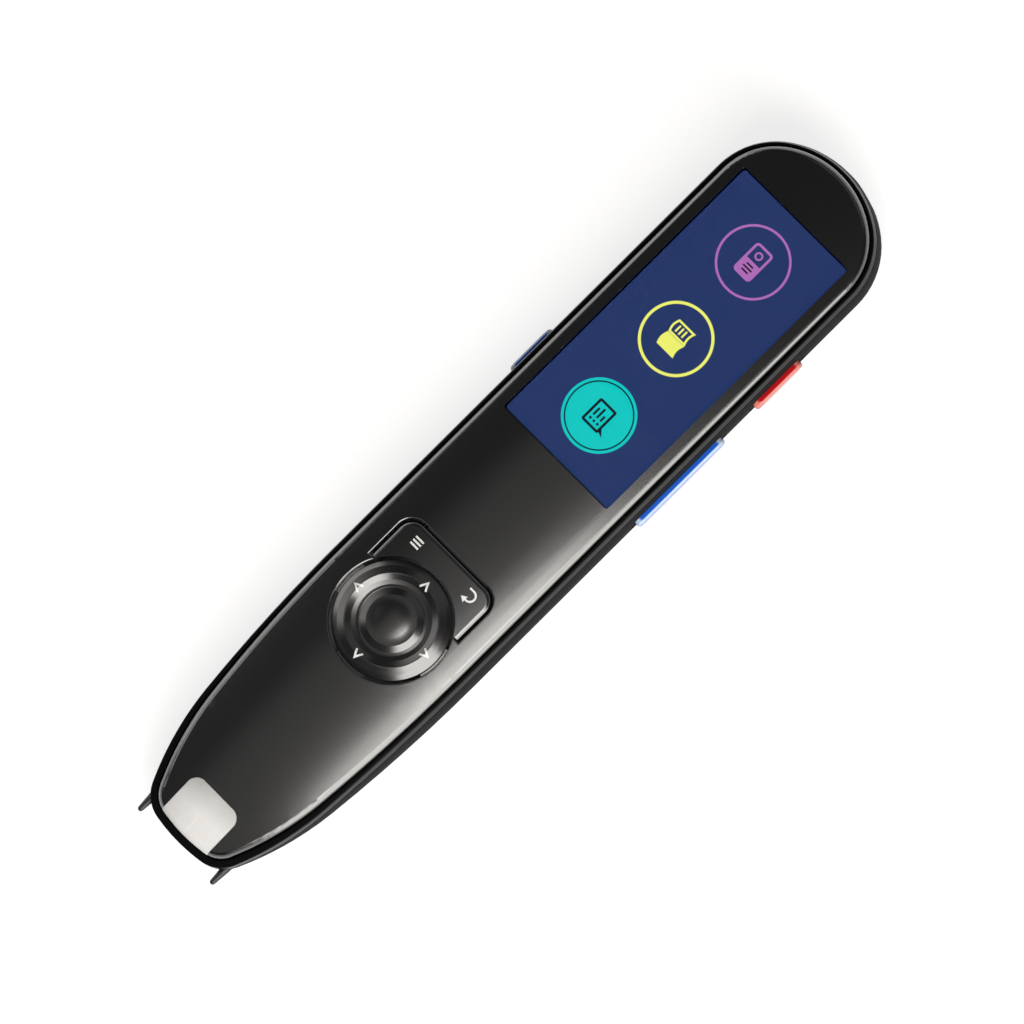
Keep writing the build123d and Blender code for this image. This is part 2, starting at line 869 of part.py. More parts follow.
def tip_switch():
    front_x = light_board_x - tip_switch_depth
    half = tip_switch_width / 2
    body = block(front_x, light_board_x, -half, half, tip_switch_low, tip_switch_high)
    stem_x = tip_bar_back_x + tip_travel + tip_switch_free_gap
    root_x = front_x + tip_switch_depth / 2
    return body + rod(stem_x, root_x, 0, tip_switch_stem_level, tip_switch_stem_radius)


def lens_place(distance):
    """A place on the optical axis, at a distance behind the scanning face's centre."""
    angle = radians(lens_tilt)
    return Pos(scan_x + distance * cos(angle), 0, scan_z + distance * sin(angle)) * Rot(0, 90 - lens_tilt, 0)


def axis_cylinder(start, length, radius):
    """A cylinder along the optical axis."""
    return lens_place(start) * Cylinder(radius, length, align=(Align.CENTER, Align.CENTER, Align.MIN))


def light_board():
    back_x = light_board_x + light_board_thickness
    half = light_board_width / 2
    board = block(light_board_x, back_x, -half, half, light_board_low, light_board_high)
    for side in (1, -1):
        y = side * lamp_spacing / 2
        board += block(light_board_x - lamp_height, light_board_x, y - lamp_size / 2, y + lamp_size / 2,
                       lamp_level - lamp_size / 2, lamp_level + lamp_size / 2)
    hole_distance = (light_board_x - scan_x) / cos(radians(lens_tilt))
    return board - axis_cylinder(hole_distance - overrun, 2 * overrun, light_hole_radius)


def optics_foot_level():
    return housing_wall + optics_foot_thickness


def optics_seat_level():
    return optics_foot_level() + optics_foot_thickness


def optics_housing():
    front_x = light_board_x + light_board_thickness
    back_x = front_x + optics_length
    half = optics_width / 2
    foot_half = half + optics_foot_width
    low = optics_foot_level()
    body = block(front_x, back_x, -half, half, low, optics_high)
    foot_x = back_x - optics_foot_length
    body += block(foot_x, back_x, -foot_half, foot_half, low, optics_seat_level())
    rear = lens_place(lens_start + lens_length - sensor_board_gap)
    size = 2 * body_width
    body -= rear * Box(size, size, size, align=(Align.CENTER, Align.CENTER, Align.MIN))
    body -= axis_cylinder(0, lens_start + lens_length, lens_radius + lens_clearance)
    body -= axis_cylinder(0, lens_start + lens_front_length, lens_front_radius + lens_clearance)
    for x, y in optics_screw_places():
        body -= column(x, y, 0, optics_high, board_screw_radius + screw_hole_gap)
    return body


def lens_barrel():
    barrel = axis_cylinder(lens_start, lens_length - sensor_board_gap, lens_radius)
    barrel += axis_cylinder(lens_start - lens_clearance, lens_front_length, lens_front_radius)
    return barrel - axis_cylinder(lens_start - overrun, overrun + lens_glass_depth, lens_glass_radius)


def sensor_board():
    start = lens_start + lens_length
    half_thickness = sensor_board_thickness / 2
    plate = lens_place(start + half_thickness) * Box(sensor_board_height, sensor_board_width,
                                                     sensor_board_thickness)
    chip = lens_place(start + sensor_board_thickness + sensor_chip_height / 2) * Box(
        sensor_chip_size, sensor_chip_size, sensor_chip_height)
    return plate + chip


def ribbon(points, bend, width):
    """A flat ribbon of rounded bends in the X-Z plane, centred on the axis."""
    path = FilletPolyline(*[(x, 0, z) for x, z in points], radius=bend)
    section = Plane(origin=path @ 0, x_dir=(0, 1, 0), z_dir=path % 0) * Rectangle(width, flex_thickness)
    return sweep(section, path=path)


def sensor_flex():
    start = lens_place(lens_start + lens_length + sensor_board_thickness + sensor_chip_height)
    x, z = start.position.X, start.position.Z
    connector_low = board_level - connector_height
    points = [(x + flex_thickness, z), (x + optics_length, z),
              (board_head_x + connector_length, connector_low - flex_thickness / 2)]
    turn_x = board_head_x - sensor_flex_bend
    points.insert(2, (turn_x, connector_low - flex_thickness / 2))
    return ribbon(points, sensor_flex_bend, sensor_flex_width)


# Front keys

def direction_ring():
    profile = [
        (ring_inner_radius, top_level - ring_recess_drop),
        (ring_recess_radius, top_level - ring_recess_drop),
        (ring_recess_radius, ring_bottom),
        (ring_outer_radius, ring_bottom),
        (ring_outer_radius, top_level - ring_edge_drop),
        (ring_shoulder_radius, top_level - ring_shoulder_drop),
        (ring_crest_radius, top_level - ring_crest_drop),
        (ring_foot_radius, top_level - ring_foot_drop),
        (ring_inner_radius, top_level - ring_inner_drop)]
    ring = turned(profile, keys_x)
    edges = [e for e in ring.edges() if e.geom_type == GeomType.CIRCLE
             and e.center().Z > top_level - ring_recess_drop + ring_edge_round]
    ring = fillet([e for e in edges if e.radius > ring_foot_radius + ring_edge_round], ring_edge_round)
    ear_high = ring_bottom + ring_ear_thickness
    half = ring_ear_width / 2
    reach_low = (ring_recess_radius + ring_outer_radius) / 2
    ears = block(keys_x - ring_ear_radius, keys_x - reach_low, -half, half, ring_bottom, ear_high)
    for side in (1, -1):
        y_low, y_high = sorted((side * reach_low, side * ring_ear_radius))
        ears += block(keys_x - half, keys_x + half, y_low, y_high, ring_bottom, ear_high)
    ears &= column(keys_x, 0, ring_bottom, ear_high, ring_ear_radius)
    ring += ears
    for x, y in ring_post_places():
        ring += column(x, y, ring_bottom - post_height, ring_bottom, ring_post_radius)
    return ring


def ring_post_places():
    r = ring_post_place_radius
    return [(keys_x + r, 0), (keys_x - r, 0), (keys_x, r), (keys_x, -r)]


def ring_carrier():
    plate = column(keys_x, 0, carrier_low, carrier_top, carrier_outer_radius)
    plate -= column(keys_x, 0, 0, top_level, carrier_inner_radius)
    r = (carrier_inner_radius + carrier_outer_radius) / 2
    for side in (1, -1):
        plate += column(keys_x, side * r, mat_top + nub_gap, carrier_low, nub_radius)
        plate += column(keys_x + side * r, 0, carrier_top, ring_bottom - nub_gap, nub_radius)
    return plate


def ok_button():
    flange_top = top_level - ok_flange_drop
    flange_low = flange_top - ok_flange_thickness
    post_low = flange_low - ok_post_height
    crest = (0, 0, top_level - ok_top_drop)
    dome = TangentArc(crest, (ok_dome_radius, 0, top_level - ok_dome_drop), tangent=(1, 0, 0))
    brow = TangentArc(dome @ 1, (ok_rim_radius, 0, top_level - ok_rim_drop), tangent=dome % 1)
    rest = Polyline(
        brow @ 1,
        (ok_radius, 0, top_level - ok_edge_drop),
        (ok_radius, 0, flange_top),
        (ok_flange_radius, 0, flange_top),
        (ok_flange_radius, 0, flange_low),
        (ok_post_radius, 0, flange_low),
        (ok_post_radius, 0, post_low),
        (0, 0, post_low),
        crest)
    return Pos(keys_x, 0, 0) * revolve(make_face([dome, brow, rest]), Axis.Z, 360)


def menu_back_key():
    low = ring_bottom
    gap_end_x = pocket_end_x - key_gap
    half = pocket_radius - key_gap
    start_x = keys_x + pocket_filler_from_keys + key_gap
    blank = slab(keys_x - pocket_radius, gap_end_x, half, low, top_level, pocket_end_corner - key_gap)
    crowned = blank & below_crown(menu_key_drop)
    crowned = fillet(outer_rim([f for f in crowned.faces() if f.normal_at().Z > 0.5]), menu_key_round)
    wide = half + overrun
    plan = block(start_x, gap_end_x + overrun, -wide, wide, 0, top_level)
    plan -= column(keys_x, 0, 0, top_level, pocket_radius)
    horns = plan.edges().filter_by(Axis.Z).filter_by_position(Axis.X, start_x - fit_gap, start_x + fit_gap)
    horns = horns.filter_by_position(Axis.Y, -half, half)
    body = crowned & fillet(horns, menu_horn_round)
    flange_start_x = keys_x + pocket_radius + menu_flange_reach
    flange_half = half - pocket_end_corner
    body += block(flange_start_x, pocket_end_x + menu_flange_reach, -flange_half, flange_half,
                  low, low + menu_flange_thickness)
    rib_half = menu_rib_width / 2
    body += block(flange_start_x, gap_end_x, -rib_half, rib_half, mat_top + nub_gap, low)
    for x, y in menu_post_places():
        body += column(x, y, low - post_height, low, ring_post_radius)
    return body


def menu_post_places():
    x = pocket_end_x - menu_post_from_end
    return [(x, side * menu_post_spacing / 2) for side in (1, -1)]


def mat_ends():
    return keys_x - pocket_radius - mat_margin, pocket_end_x + mat_margin


def keypad_mat():
    low_x, high_x = mat_ends()
    plate = block(low_x, high_x, -mat_half_width, mat_half_width, board_top, mat_top)
    inner = mat_half_width - mat_rim
    return plate - block(low_x + mat_rim, high_x - mat_rim, -inner, inner, 0, mat_low)


def key_domes():
    """Snap domes on the board, one under each post and one under the centre button."""
    cap_radius = (dome_radius ** 2 + dome_height ** 2) / (2 * dome_height)
    cap = Pos(0, 0, board_top + dome_height - cap_radius) * Sphere(cap_radius)
    cap &= column(0, 0, board_top, board_top + dome_height, dome_radius)
    places = [(keys_x, 0)] + ring_post_places() + menu_post_places()
    return Compound([Pos(x, y, 0) * cap.solid() for x, y in places])


# Side buttons and their switches

def side_button(x, length, side, flange_gap):
    """A long rounded button with a flange behind the wall."""
    outer = side * (half_width + button_stand)
    inner = side * (wall_inner_y - flange_gap)
    flange_inner = inner - side * button_flange_thickness
    body = side_stadium(x, length, button_height, min(outer, inner), max(outer, inner))
    face = body.faces().sort_by(Axis.Y)[-1 if side > 0 else 0]
    body = fillet(face.edges(), button_round)
    body += side_stadium(x, length + 2 * button_flange_margin, button_height + 2 * button_flange_margin,
                         min(inner, flange_inner), max(inner, flange_inner))
    return body


def switch_places():
    spread = volume_switch_spacing / 2
    return [(volume_x - spread, -1), (volume_x + spread, -1), (power_x, -1), (record_x, 1)]


def side_switch(x, side):
    """A right-angle switch hung under the board's edge, with its stem towards the button."""
    stem_end = wall_inner_y - button_flange_gap - button_flange_thickness - button_travel - switch_free_gap
    face = stem_end - switch_stem_length
    y_low, y_high = sorted((side * (face - switch_depth), side * face))
    low = widest_level - switch_stem_radius - switch_stem_length
    body = block(x - switch_length / 2, x + switch_length / 2, y_low, y_high, low, board_level)
    stem_low, stem_high = sorted((side * (face - switch_depth / 2), side * stem_end))
    stem = Pos(x, stem_high, widest_level) * extrude(Plane.XZ * Circle(switch_stem_radius),
                                                     amount=stem_high - stem_low)
    return body + stem


def side_switches():
    return Compound([side_switch(x, side).solid() for x, side in switch_places()])


# Boards and electronics

def main_board():
    board = slab(board_head_x, board_tail_x, board_width / 2, board_level, board_top, board_corner)
    for x, y in board_screw_places():
        board -= column(x, y, 0, top_level, board_screw_radius + screw_hole_gap)
    return board


def chip(x, y, length, width, height):
    """A flat package on the underside of the board."""
    low = board_level - height
    return block(x - length / 2, x + length / 2, y - width / 2, y + width / 2, low, board_level)


def processor():
    x = battery_head_x + processor_share * battery_length
    return chip(x, 0, processor_size, processor_size, processor_height)


def memory_chips():
    x = battery_head_x + memory_share * battery_length
    return Compound([chip(x, side * memory_spacing / 2, memory_length, memory_width, memory_height).solid()
                     for side in (1, -1)])


def power_chips():
    x = battery_head_x + power_chip_share * battery_length
    return Compound([chip(x, side * power_chip_spacing / 2, power_chip_size, power_chip_size,
                          power_chip_height).solid() for side in (1, -1)])


def wire_connector_xs():
    battery_x = battery_stop_x - wire_connector_length
    speaker_x_end = speaker_x + speaker_length / 2 + speaker_wire_reach
    return battery_x, speaker_x_end


def board_connectors():
    """Plugs for the screen, the sensor, the battery and the speaker."""
    half = connector_width / 2
    display_x = panel_head_x - display_flex_lap
    display = block(display_x, display_x + connector_length, -half, half,
                    board_top, panel_low - flex_thickness)
    sensor = block(board_head_x, board_head_x + connector_length, -half, half,
                   board_level - connector_height, board_level)
    parts = [display, sensor]
    for x in wire_connector_xs():
        parts.append(chip(x, 0, wire_connector_length, wire_connector_width, wire_connector_height))
    return Compound([p.solid() for p in parts])


def battery():
    return slab(battery_head_x, battery_tail_x, battery_width / 2, battery_low, battery_top, battery_corner)


def battery_pad():
    return slab(battery_head_x + battery_pad_margin, battery_tail_x - battery_pad_margin,
                battery_width / 2 - battery_pad_margin, housing_wall, battery_low, battery_corner)


def wire_pair(start, corner, end):
    """Two round wires side by side, bent once."""
    wires = []
    for side in (1, -1):
        y = side * wire_spacing / 2
        path = FilletPolyline(*[(x, y, z) for x, z in (start, corner, end)], radius=wire_bend)
        section = Plane(origin=path @ 0, z_dir=path % 0) * Circle(wire_radius)
        wires.append(sweep(section, path=path).solid())
    return Compound(wires)


def battery_wires():
    plug_x = wire_connector_xs()[0]
    plug_low = board_level - wire_connector_height
    return wire_pair((battery_head_x, battery_wire_level), (plug_x, battery_wire_level), (plug_x, plug_low))


def speaker_plan(length, width):
    return Pos(speaker_x, 0) * SlotOverall(length, width)


def speaker_levels():
    low = housing_wall + mesh_thickness + speaker_gasket_thickness
    return low, low + speaker_height


def speaker():
    low, high = speaker_levels()
    body = Pos(0, 0, low) * extrude(speaker_plan(speaker_length, speaker_width), amount=high - low)
    rim = 2 * speaker_rim
    cone = Pos(0, 0, low) * extrude(speaker_plan(speaker_length - rim, speaker_width - rim),
                                    amount=speaker_cone_depth)
    return body - cone


def speaker_gasket():
    rim = 2 * speaker_rim
    plan = speaker_plan(speaker_length, speaker_width)
    plan -= speaker_plan(speaker_length - rim, speaker_width - rim)
    return Pos(0, 0, housing_wall + mesh_thickness) * extrude(plan, amount=speaker_gasket_thickness)


def speaker_mesh():
    margin = 2 * mesh_margin
    plan = speaker_plan(speaker_length - margin, speaker_width - margin)
    return Pos(0, 0, housing_wall) * extrude(plan, amount=mesh_thickness)


def speaker_wires():
    low, high = speaker_levels()
    level = (low + high) / 2
    plug_x = wire_connector_xs()[1]
    plug_low = board_level - wire_connector_height
    return wire_pair((speaker_x + speaker_length / 2, level), (plug_x, level), (plug_x, plug_low))


# Tail sockets

def tail_surface_x(y):
    """Where the outer surface of the tail lies at a distance from the axis."""
    end = end_stations([(tail_corner_radius, tail_corner_turn)])
    radius = end[-3][1] / cos(radians(tail_corner_turn))
    return tail_x - radius + sqrt(radius ** 2 - y ** 2)


def charge_socket():
    mouth_x = tail_surface_x(abs(charge_offset) + charge_width / 2) - charge_recess
    back_x = mouth_x - charge_depth
    outer = Plane.YZ * SlotOverall(charge_width, charge_height)
    inner = Plane.YZ * SlotOverall(charge_width - 2 * charge_wall, charge_height - 2 * charge_wall)
    place = Pos(back_x, charge_offset, charge_level())
    shell = place * extrude(outer, amount=charge_depth)
    shell -= place * Pos(charge_wall, 0, 0) * extrude(inner, amount=charge_depth)
    half = charge_tongue_width / 2
    tongue = block(back_x, back_x + charge_tongue_length, charge_offset - half, charge_offset + half,
                   charge_level() - charge_tongue_height / 2, charge_level() + charge_tongue_height / 2)
    return shell + tongue


def headphone_jack():
    mouth_x = tail_surface_x(jack_offset) - jack_recess
    back_x = mouth_x - jack_bore_length - jack_back_wall
    half = jack_body_width / 2
    body = block(back_x, back_x + jack_body_length, jack_offset - half, jack_offset + half,
                 board_level - jack_body_height, board_level)
    body += rod(back_x + jack_body_length / 2, mouth_x, jack_offset, jack_level(), jack_collar_radius)
    bore_x = mouth_x - jack_bore_length
    return body - rod(bore_x, mouth_x + overrun, jack_offset, jack_level(), jack_bore_radius)


# Screws

def screw(head_radius, head_height, shank_radius, shank_length):
    """A screw with its head's seat on the origin and its shank pointing down, cross recess on top."""
    head = column(0, 0, 0, head_height, head_radius)
    half_long = cross_length * head_radius / housing_screw_head_radius / 2
    half_wide = cross_width / 2
    low = head_height - cross_depth
    high = head_height + overrun
    head -= block(-half_long, half_long, -half_wide, half_wide, low, high)
    head -= block(-half_wide, half_wide, -half_long, half_long, low, high)
    return head + column(0, 0, -shank_length, 0, shank_radius)


def housing_screws():
    length = screw_web + housing_screw_grip - fit_gap
    one = screw(housing_screw_head_radius, housing_screw_head_height, housing_screw_radius, length)
    upside_down = Rot(180, 0, 0) * one
    return Compound([Pos(x, y, head_seat_level) * upside_down.solid() for x, y in boss_places()])


def small_screw(length):
    return screw(board_screw_head_radius, board_screw_head_height, board_screw_radius, length).solid()


def board_screws():
    one = small_screw(board_screw_length)
    return Compound([Pos(x, y, board_top) * one for x, y in board_screw_places()])


def optics_screws():
    one = small_screw(optics_screw_length)
    return Compound([Pos(x, y, optics_seat_level()) * one for x, y in optics_screw_places()])


nodes = {
    "front_cover": front_cover,
    "trim_frame": trim_frame,
    "rear_housing": rear_housing,
    "housing_screws": housing_screws,
    "nose_window": nose_window,
    "scan_glass": scan_glass,
    "tip_fork": tip_fork,
    "tip_springs": tip_springs,
    "tip_switch": tip_switch,
    "light_board": light_board,
    "optics_housing": optics_housing,
    "optics_screws": optics_screws,
    "lens_barrel": lens_barrel,
    "sensor_board": sensor_board,
    "sensor_flex": sensor_flex,
    "ok_button": ok_button,
    "direction_ring": direction_ring,
    "ring_carrier": ring_carrier,
    "menu_back_key": menu_back_key,
    "keypad_mat": keypad_mat,
    "key_domes": key_domes,
    "display_window": display_window,
    "display_gasket": display_gasket,
    "display_panel": display_panel,
    "display_flex": display_flex,
    "main_board": main_board,
    "board_screws": board_screws,
    "board_connectors": board_connectors,
    "processor": processor,
    "memory_chips": memory_chips,
    "power_chips": power_chips,
    "battery": battery,
    "battery_pad": battery_pad,
    "battery_wires": battery_wires,
    "speaker": speaker,
    "speaker_gasket": speaker_gasket,
    "speaker_mesh": speaker_mesh,
    "speaker_wires": speaker_wires,
    "charge_socket": charge_socket,
    "headphone_jack": headphone_jack,
    "side_switches": side_switches,
    "volume_rocker": lambda: side_button(volume_x, volume_length, -1, volume_flange_gap),
    "power_button": lambda: side_button(power_x, power_length, -1, button_flange_gap),
    "record_button": lambda: side_button(record_x, record_length, 1, button_flange_gap),
}

os.makedirs("parts", exist_ok=True)
for name, make in nodes.items():
    export_step(make(), f"parts/{name}.step")
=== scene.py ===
"""Finishes, printed marks, screen image and photo stage of a scanning pen."""

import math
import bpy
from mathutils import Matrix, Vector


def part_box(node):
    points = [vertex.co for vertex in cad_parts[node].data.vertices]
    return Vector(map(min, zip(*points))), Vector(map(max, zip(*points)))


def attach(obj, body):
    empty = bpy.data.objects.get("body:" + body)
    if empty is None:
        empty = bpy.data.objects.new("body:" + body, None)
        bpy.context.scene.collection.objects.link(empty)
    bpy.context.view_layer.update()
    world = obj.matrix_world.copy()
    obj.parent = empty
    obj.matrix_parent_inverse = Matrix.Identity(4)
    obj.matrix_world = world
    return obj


bl_info = {
    "name": "Scanning pen looks",
    "version": (1, 0, 0),
    "blender": (4, 5, 0),
    "location": "3D View > Sidebar > Scanning pen",
    "description": "Finishes, printed marks, screen image and photo stage of a scanning pen",
    "category": "Object",
}

import bmesh
import bpy
from bpy.props import FloatProperty, FloatVectorProperty, PointerProperty
from bpy.types import Operator, Panel, PropertyGroup
from mathutils import Matrix, Vector
from mathutils.bvhtree import BVHTree

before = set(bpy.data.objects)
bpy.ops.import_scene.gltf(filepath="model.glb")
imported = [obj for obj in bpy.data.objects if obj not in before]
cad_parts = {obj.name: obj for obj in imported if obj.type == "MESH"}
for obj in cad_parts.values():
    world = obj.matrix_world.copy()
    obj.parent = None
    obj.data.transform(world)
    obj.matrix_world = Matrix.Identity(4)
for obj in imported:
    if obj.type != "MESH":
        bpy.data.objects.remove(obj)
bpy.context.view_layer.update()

MM = 0.001
WARM_WHITE = (1.0, 0.97, 0.93)


def linear(red, green, blue):
    """A screen colour of 0 to 255 a channel as scene-linear values."""
    channels = []
    for value in (red, green, blue):
        share = value / 255
        channels.append(share / 12.92 if share <= 0.04045 else ((share + 0.055) / 1.055) ** 2.4)
    return tuple(channels)


def colour_property(name, description, default):
    return FloatVectorProperty(name=name, description=description, subtype="COLOR", size=3,
                               min=0, max=1, default=default)


def length_property(name, description, default):
    return FloatProperty(name=name, description=description, subtype="DISTANCE", unit="LENGTH",
                         min=0, default=default)


def share_property(name, description, default):
    return FloatProperty(name=name, description=description, subtype="FACTOR", min=0, max=1,
                         default=default)


def level_property(name, description, default):
    return FloatProperty(name=name, description=description, min=0, default=default)


def angle_property(name, description, degrees):
    return FloatProperty(name=name, description=description, subtype="ANGLE", unit="ROTATION",
                         default=math.radians(degrees))


# Sizes and colours that a user would change

class PenFinishSettings(PropertyGroup):
    cover_colour: colour_property("Cover", "Colour of the satin cover and keys", linear(12, 12, 13))
    housing_colour: colour_property("Housing", "Colour of the rear housing", linear(20, 19, 21))
    cover_roughness: share_property("Cover roughness", "Roughness of the satin cover", 0.18)
    key_roughness: share_property("Key roughness", "Roughness of the keys", 0.2)
    housing_roughness: share_property("Housing roughness", "Roughness of the rear housing", 0.55)
    window_colour: colour_property("Nose window", "Colour of the frosted nose window",
                                   linear(243, 243, 242))
    blue_colour: colour_property("Blue buttons", "Colour of the blue side buttons",
                                 linear(40, 108, 226))
    # Painted highlight: a pale colour for the blue buttons' upper rounding, standing in for the
    # gloss that catches the light there.
    blue_painted_highlight: colour_property("Blue edge", "Colour of the blue buttons' upper edge",
                               linear(205, 228, 250))
    red_colour: colour_property("Red button", "Colour of the red side button", linear(206, 26, 34))
    # Painted highlight: a pale salmon for the red button's upper rounding, standing in for the
    # gloss that catches the light there.
    red_painted_highlight: colour_property("Red edge", "Colour of the red button's upper edge",
                              linear(255, 150, 135))
    print_colour: colour_property("Print", "Colour of the printed marks", linear(244, 244, 242))
    grain_size: length_property("Grain size", "Size of the moulded grain", 0.16 * MM)


class PenMarkSettings(PropertyGroup):
    stroke: length_property("Stroke", "Width of the printed strokes", 0.33 * MM)
    chevron_arm: length_property("Chevron arm", "Length of a chevron's arm", 1.75 * MM)
    chevron_reach: length_property(
        "Chevron reach", "Distance of a chevron's point from the ring's axis", 8.75 * MM)
    chevron_spread: angle_property("Chevron spread", "Half the angle between a chevron's arms", 28)
    mark_reach: length_property(
        "Mark reach", "Distance of the key marks from the ring's axis, along the pen", 11.75 * MM)
    mark_spread: length_property(
        "Mark spread", "Distance of the key marks from the centreline", 6.0 * MM)
    bar_length: length_property("Bar length", "Length of the list mark's bars", 1.75 * MM)
    bar_pitch: length_property("Bar pitch", "Distance between the list mark's bars", 0.66 * MM)
    arrow_radius: length_property("Arrow radius", "Radius of the return arrow's turn", 0.95 * MM)
    film: length_property("Film", "How far a printed mark stands on its surface", 0.03 * MM)
    aim_length: length_property("Aiming line length", "Length of the aiming line", 3.2 * MM)
    aim_width: length_property("Aiming line width", "Width of the aiming line", 0.42 * MM)


class PenScreenSettings(PropertyGroup):
    ground_colour: colour_property("Screen", "Colour of the screen's ground", linear(33, 52, 102))
    scan_colour: colour_property("First accent", "Colour of the picked disc", linear(4, 200, 196))
    book_colour: colour_property("Second accent", "Colour of the book", linear(240, 243, 112))
    card_colour: colour_property("Third accent", "Colour of the card", linear(175, 108, 184))
    ink_colour: colour_property("Ink", "Colour of dark strokes on the screen", linear(6, 14, 30))
    ring_radius: length_property("Ring radius", "Outer radius of the icon rings", 6.22 * MM)
    ring_stroke: length_property("Ring stroke", "Width of the book's ring", 0.5 * MM)
    card_stroke: length_property("Card ring stroke", "Width of the card's ring", 0.4 * MM)
    first_place: share_property("First place", "Place of the disc along the lit area", 0.180)
    middle_place: share_property("Middle place", "Place of the book along the lit area", 0.500)
    last_place: share_property("Last place", "Place of the card along the lit area", 0.820)


class PenStageSettings(PropertyGroup):
    lean: angle_property("Lean", "How far the camera leans to the side with two buttons", 7.8)
    turn: angle_property("Turn", "Angle of the pen in the picture", 44.85)
    picture_width: length_property("Picture width", "Real width across the picture", 166.5 * MM)
    lens: FloatProperty(name="Lens", description="Focal length in millimetres", min=20, default=300)
    world_level: level_property("Room", "Brightness of the dim room", 0.035)
    key_level: level_property("Softbox", "Radiance of the softbox", 6.3)
    side_level: level_property("Side panels", "Radiance of the two panels on the near side", 4.2)
    far_level: level_property("Far panels", "Radiance of the two panels across the pen", 1.05)
    fill_level: level_property("Fill", "Radiance of the two fill lights", 0.16)


def settings(name):
    return getattr(bpy.context.scene, name)


# Node helpers

def link(tree, output, socket):
    tree.links.new(output, socket)


def new_material(name):
    """A node material with its Principled shader."""
    material = bpy.data.materials.new(name)
    material.use_nodes = True
    tree = material.node_tree
    return material, tree, tree.nodes["Principled BSDF"]


def new_group(name, inputs, outputs):
    """An empty shader group with named float or colour sockets, and its two end nodes."""
    group = bpy.data.node_groups.new(name, "ShaderNodeTree")
    for socket, kind in inputs:
        group.interface.new_socket(socket, in_out="INPUT", socket_type=kind)
    for socket, kind in outputs:
        group.interface.new_socket(socket, in_out="OUTPUT", socket_type=kind)
    return group, group.nodes.new("NodeGroupInput"), group.nodes.new("NodeGroupOutput")


def math_node(tree, operation, first, second, clamp=False):
    """A math node between two values or sockets; returns its output."""
    node = tree.nodes.new("ShaderNodeMath")
    node.operation = operation
    node.use_clamp = clamp
    for socket, value in zip(node.inputs, (first, second)):
        if isinstance(value, (int, float)):
            socket.default_value = value
        else:
            link(tree, value, socket)
    return node.outputs[0]


def set_inputs(node, values):
    """Set plain values on a node's named sockets."""
    for socket, value in values.items():
        node.inputs[socket].default_value = value


def place_group(tree, name, **values):
    """A built group placed in a material with its own values."""
    node = tree.nodes.new("ShaderNodeGroup")
    node.node_tree = bpy.data.node_groups[name]
    for socket, value in values.items():
        target = node.inputs[socket.replace("_", " ").capitalize()]
        target.default_value = (*value, 1) if isinstance(value, (tuple, list)) else value
    return node


def object_place(tree):
    return tree.nodes.new("ShaderNodeTexCoord").outputs["Object"]


def split_axes(tree, vector):
    """A vector's components, as outputs named X, Y and Z."""
    split = tree.nodes.new("ShaderNodeSeparateXYZ")
    link(tree, vector, split.inputs["Vector"])
    return split.outputs


def ramp(tree, value, start, end):
    """Zero at start and one at end, and level beyond both."""
    node = tree.nodes.new("ShaderNodeMapRange")
    set_inputs(node, {"From Min": start, "From Max": end})
    link(tree, value, node.inputs["Value"])
    return node.outputs["Result"]


def object_noise(tree, scale, detail, roughness, stretch=None):
    """Noise on Object coordinates; scale is a value or a socket."""
    place = object_place(tree)
    if stretch:
        mapping = tree.nodes.new("ShaderNodeMapping")
        mapping.inputs["Scale"].default_value = stretch
        link(tree, place, mapping.inputs["Vector"])
        place = mapping.outputs["Vector"]
    noise = tree.nodes.new("ShaderNodeTexNoise")
    set_inputs(noise, {"Detail": detail, "Roughness": roughness})
    link(tree, place, noise.inputs["Vector"])
    if isinstance(scale, (int, float)):
        noise.inputs["Scale"].default_value = scale
    else:
        link(tree, scale, noise.inputs["Scale"])
    return noise.outputs["Fac"]


# Shared effects

def build_grain_group():
    """Moulded grain: fine spark pits over a slow waviness."""
    group, source, end = new_group("moulded_grain", [("Size", "NodeSocketFloat")],
                                   [("Height", "NodeSocketFloat")])
    waviness_scale, waviness_share = 0.12, 0.35
    scale = math_node(group, "DIVIDE", 1.0, source.outputs["Size"])
    fine = object_noise(group, scale, detail=2.0, roughness=0.6)
    slow_scale = math_node(group, "MULTIPLY", scale, waviness_scale)
    slow = object_noise(group, slow_scale, detail=1.0, roughness=0.4)
    slow_part = math_node(group, "MULTIPLY", slow, waviness_share)
    link(group, math_node(group, "ADD", fine, slow_part), end.inputs["Height"])


def build_handling_group():
    """Roughness with faint smears and fingermarks."""
    group, source, end = new_group(
        "handled_surface", [("Roughness", "NodeSocketFloat"), ("Variation", "NodeSocketFloat")],
        [("Roughness", "NodeSocketFloat"), ("Smear", "NodeSocketFloat")])
    smear_share, speck_share = 0.75, 0.25
    smear = object_noise(group, scale=90.0, detail=3.0, roughness=0.55, stretch=(0.6, 1.0, 1.0))
    speck = object_noise(group, scale=900.0, detail=2.0, roughness=0.5)
    mixed = math_node(group, "ADD", math_node(group, "MULTIPLY", smear, smear_share),
                      math_node(group, "MULTIPLY", speck, speck_share))
    centred = math_node(group, "SUBTRACT", mixed, 0.5)
    change = math_node(group, "MULTIPLY", centred, source.outputs["Variation"])
    link(group, math_node(group, "ADD", source.outputs["Roughness"], change, clamp=True),
         end.inputs["Roughness"])
    link(group, mixed, end.inputs["Smear"])


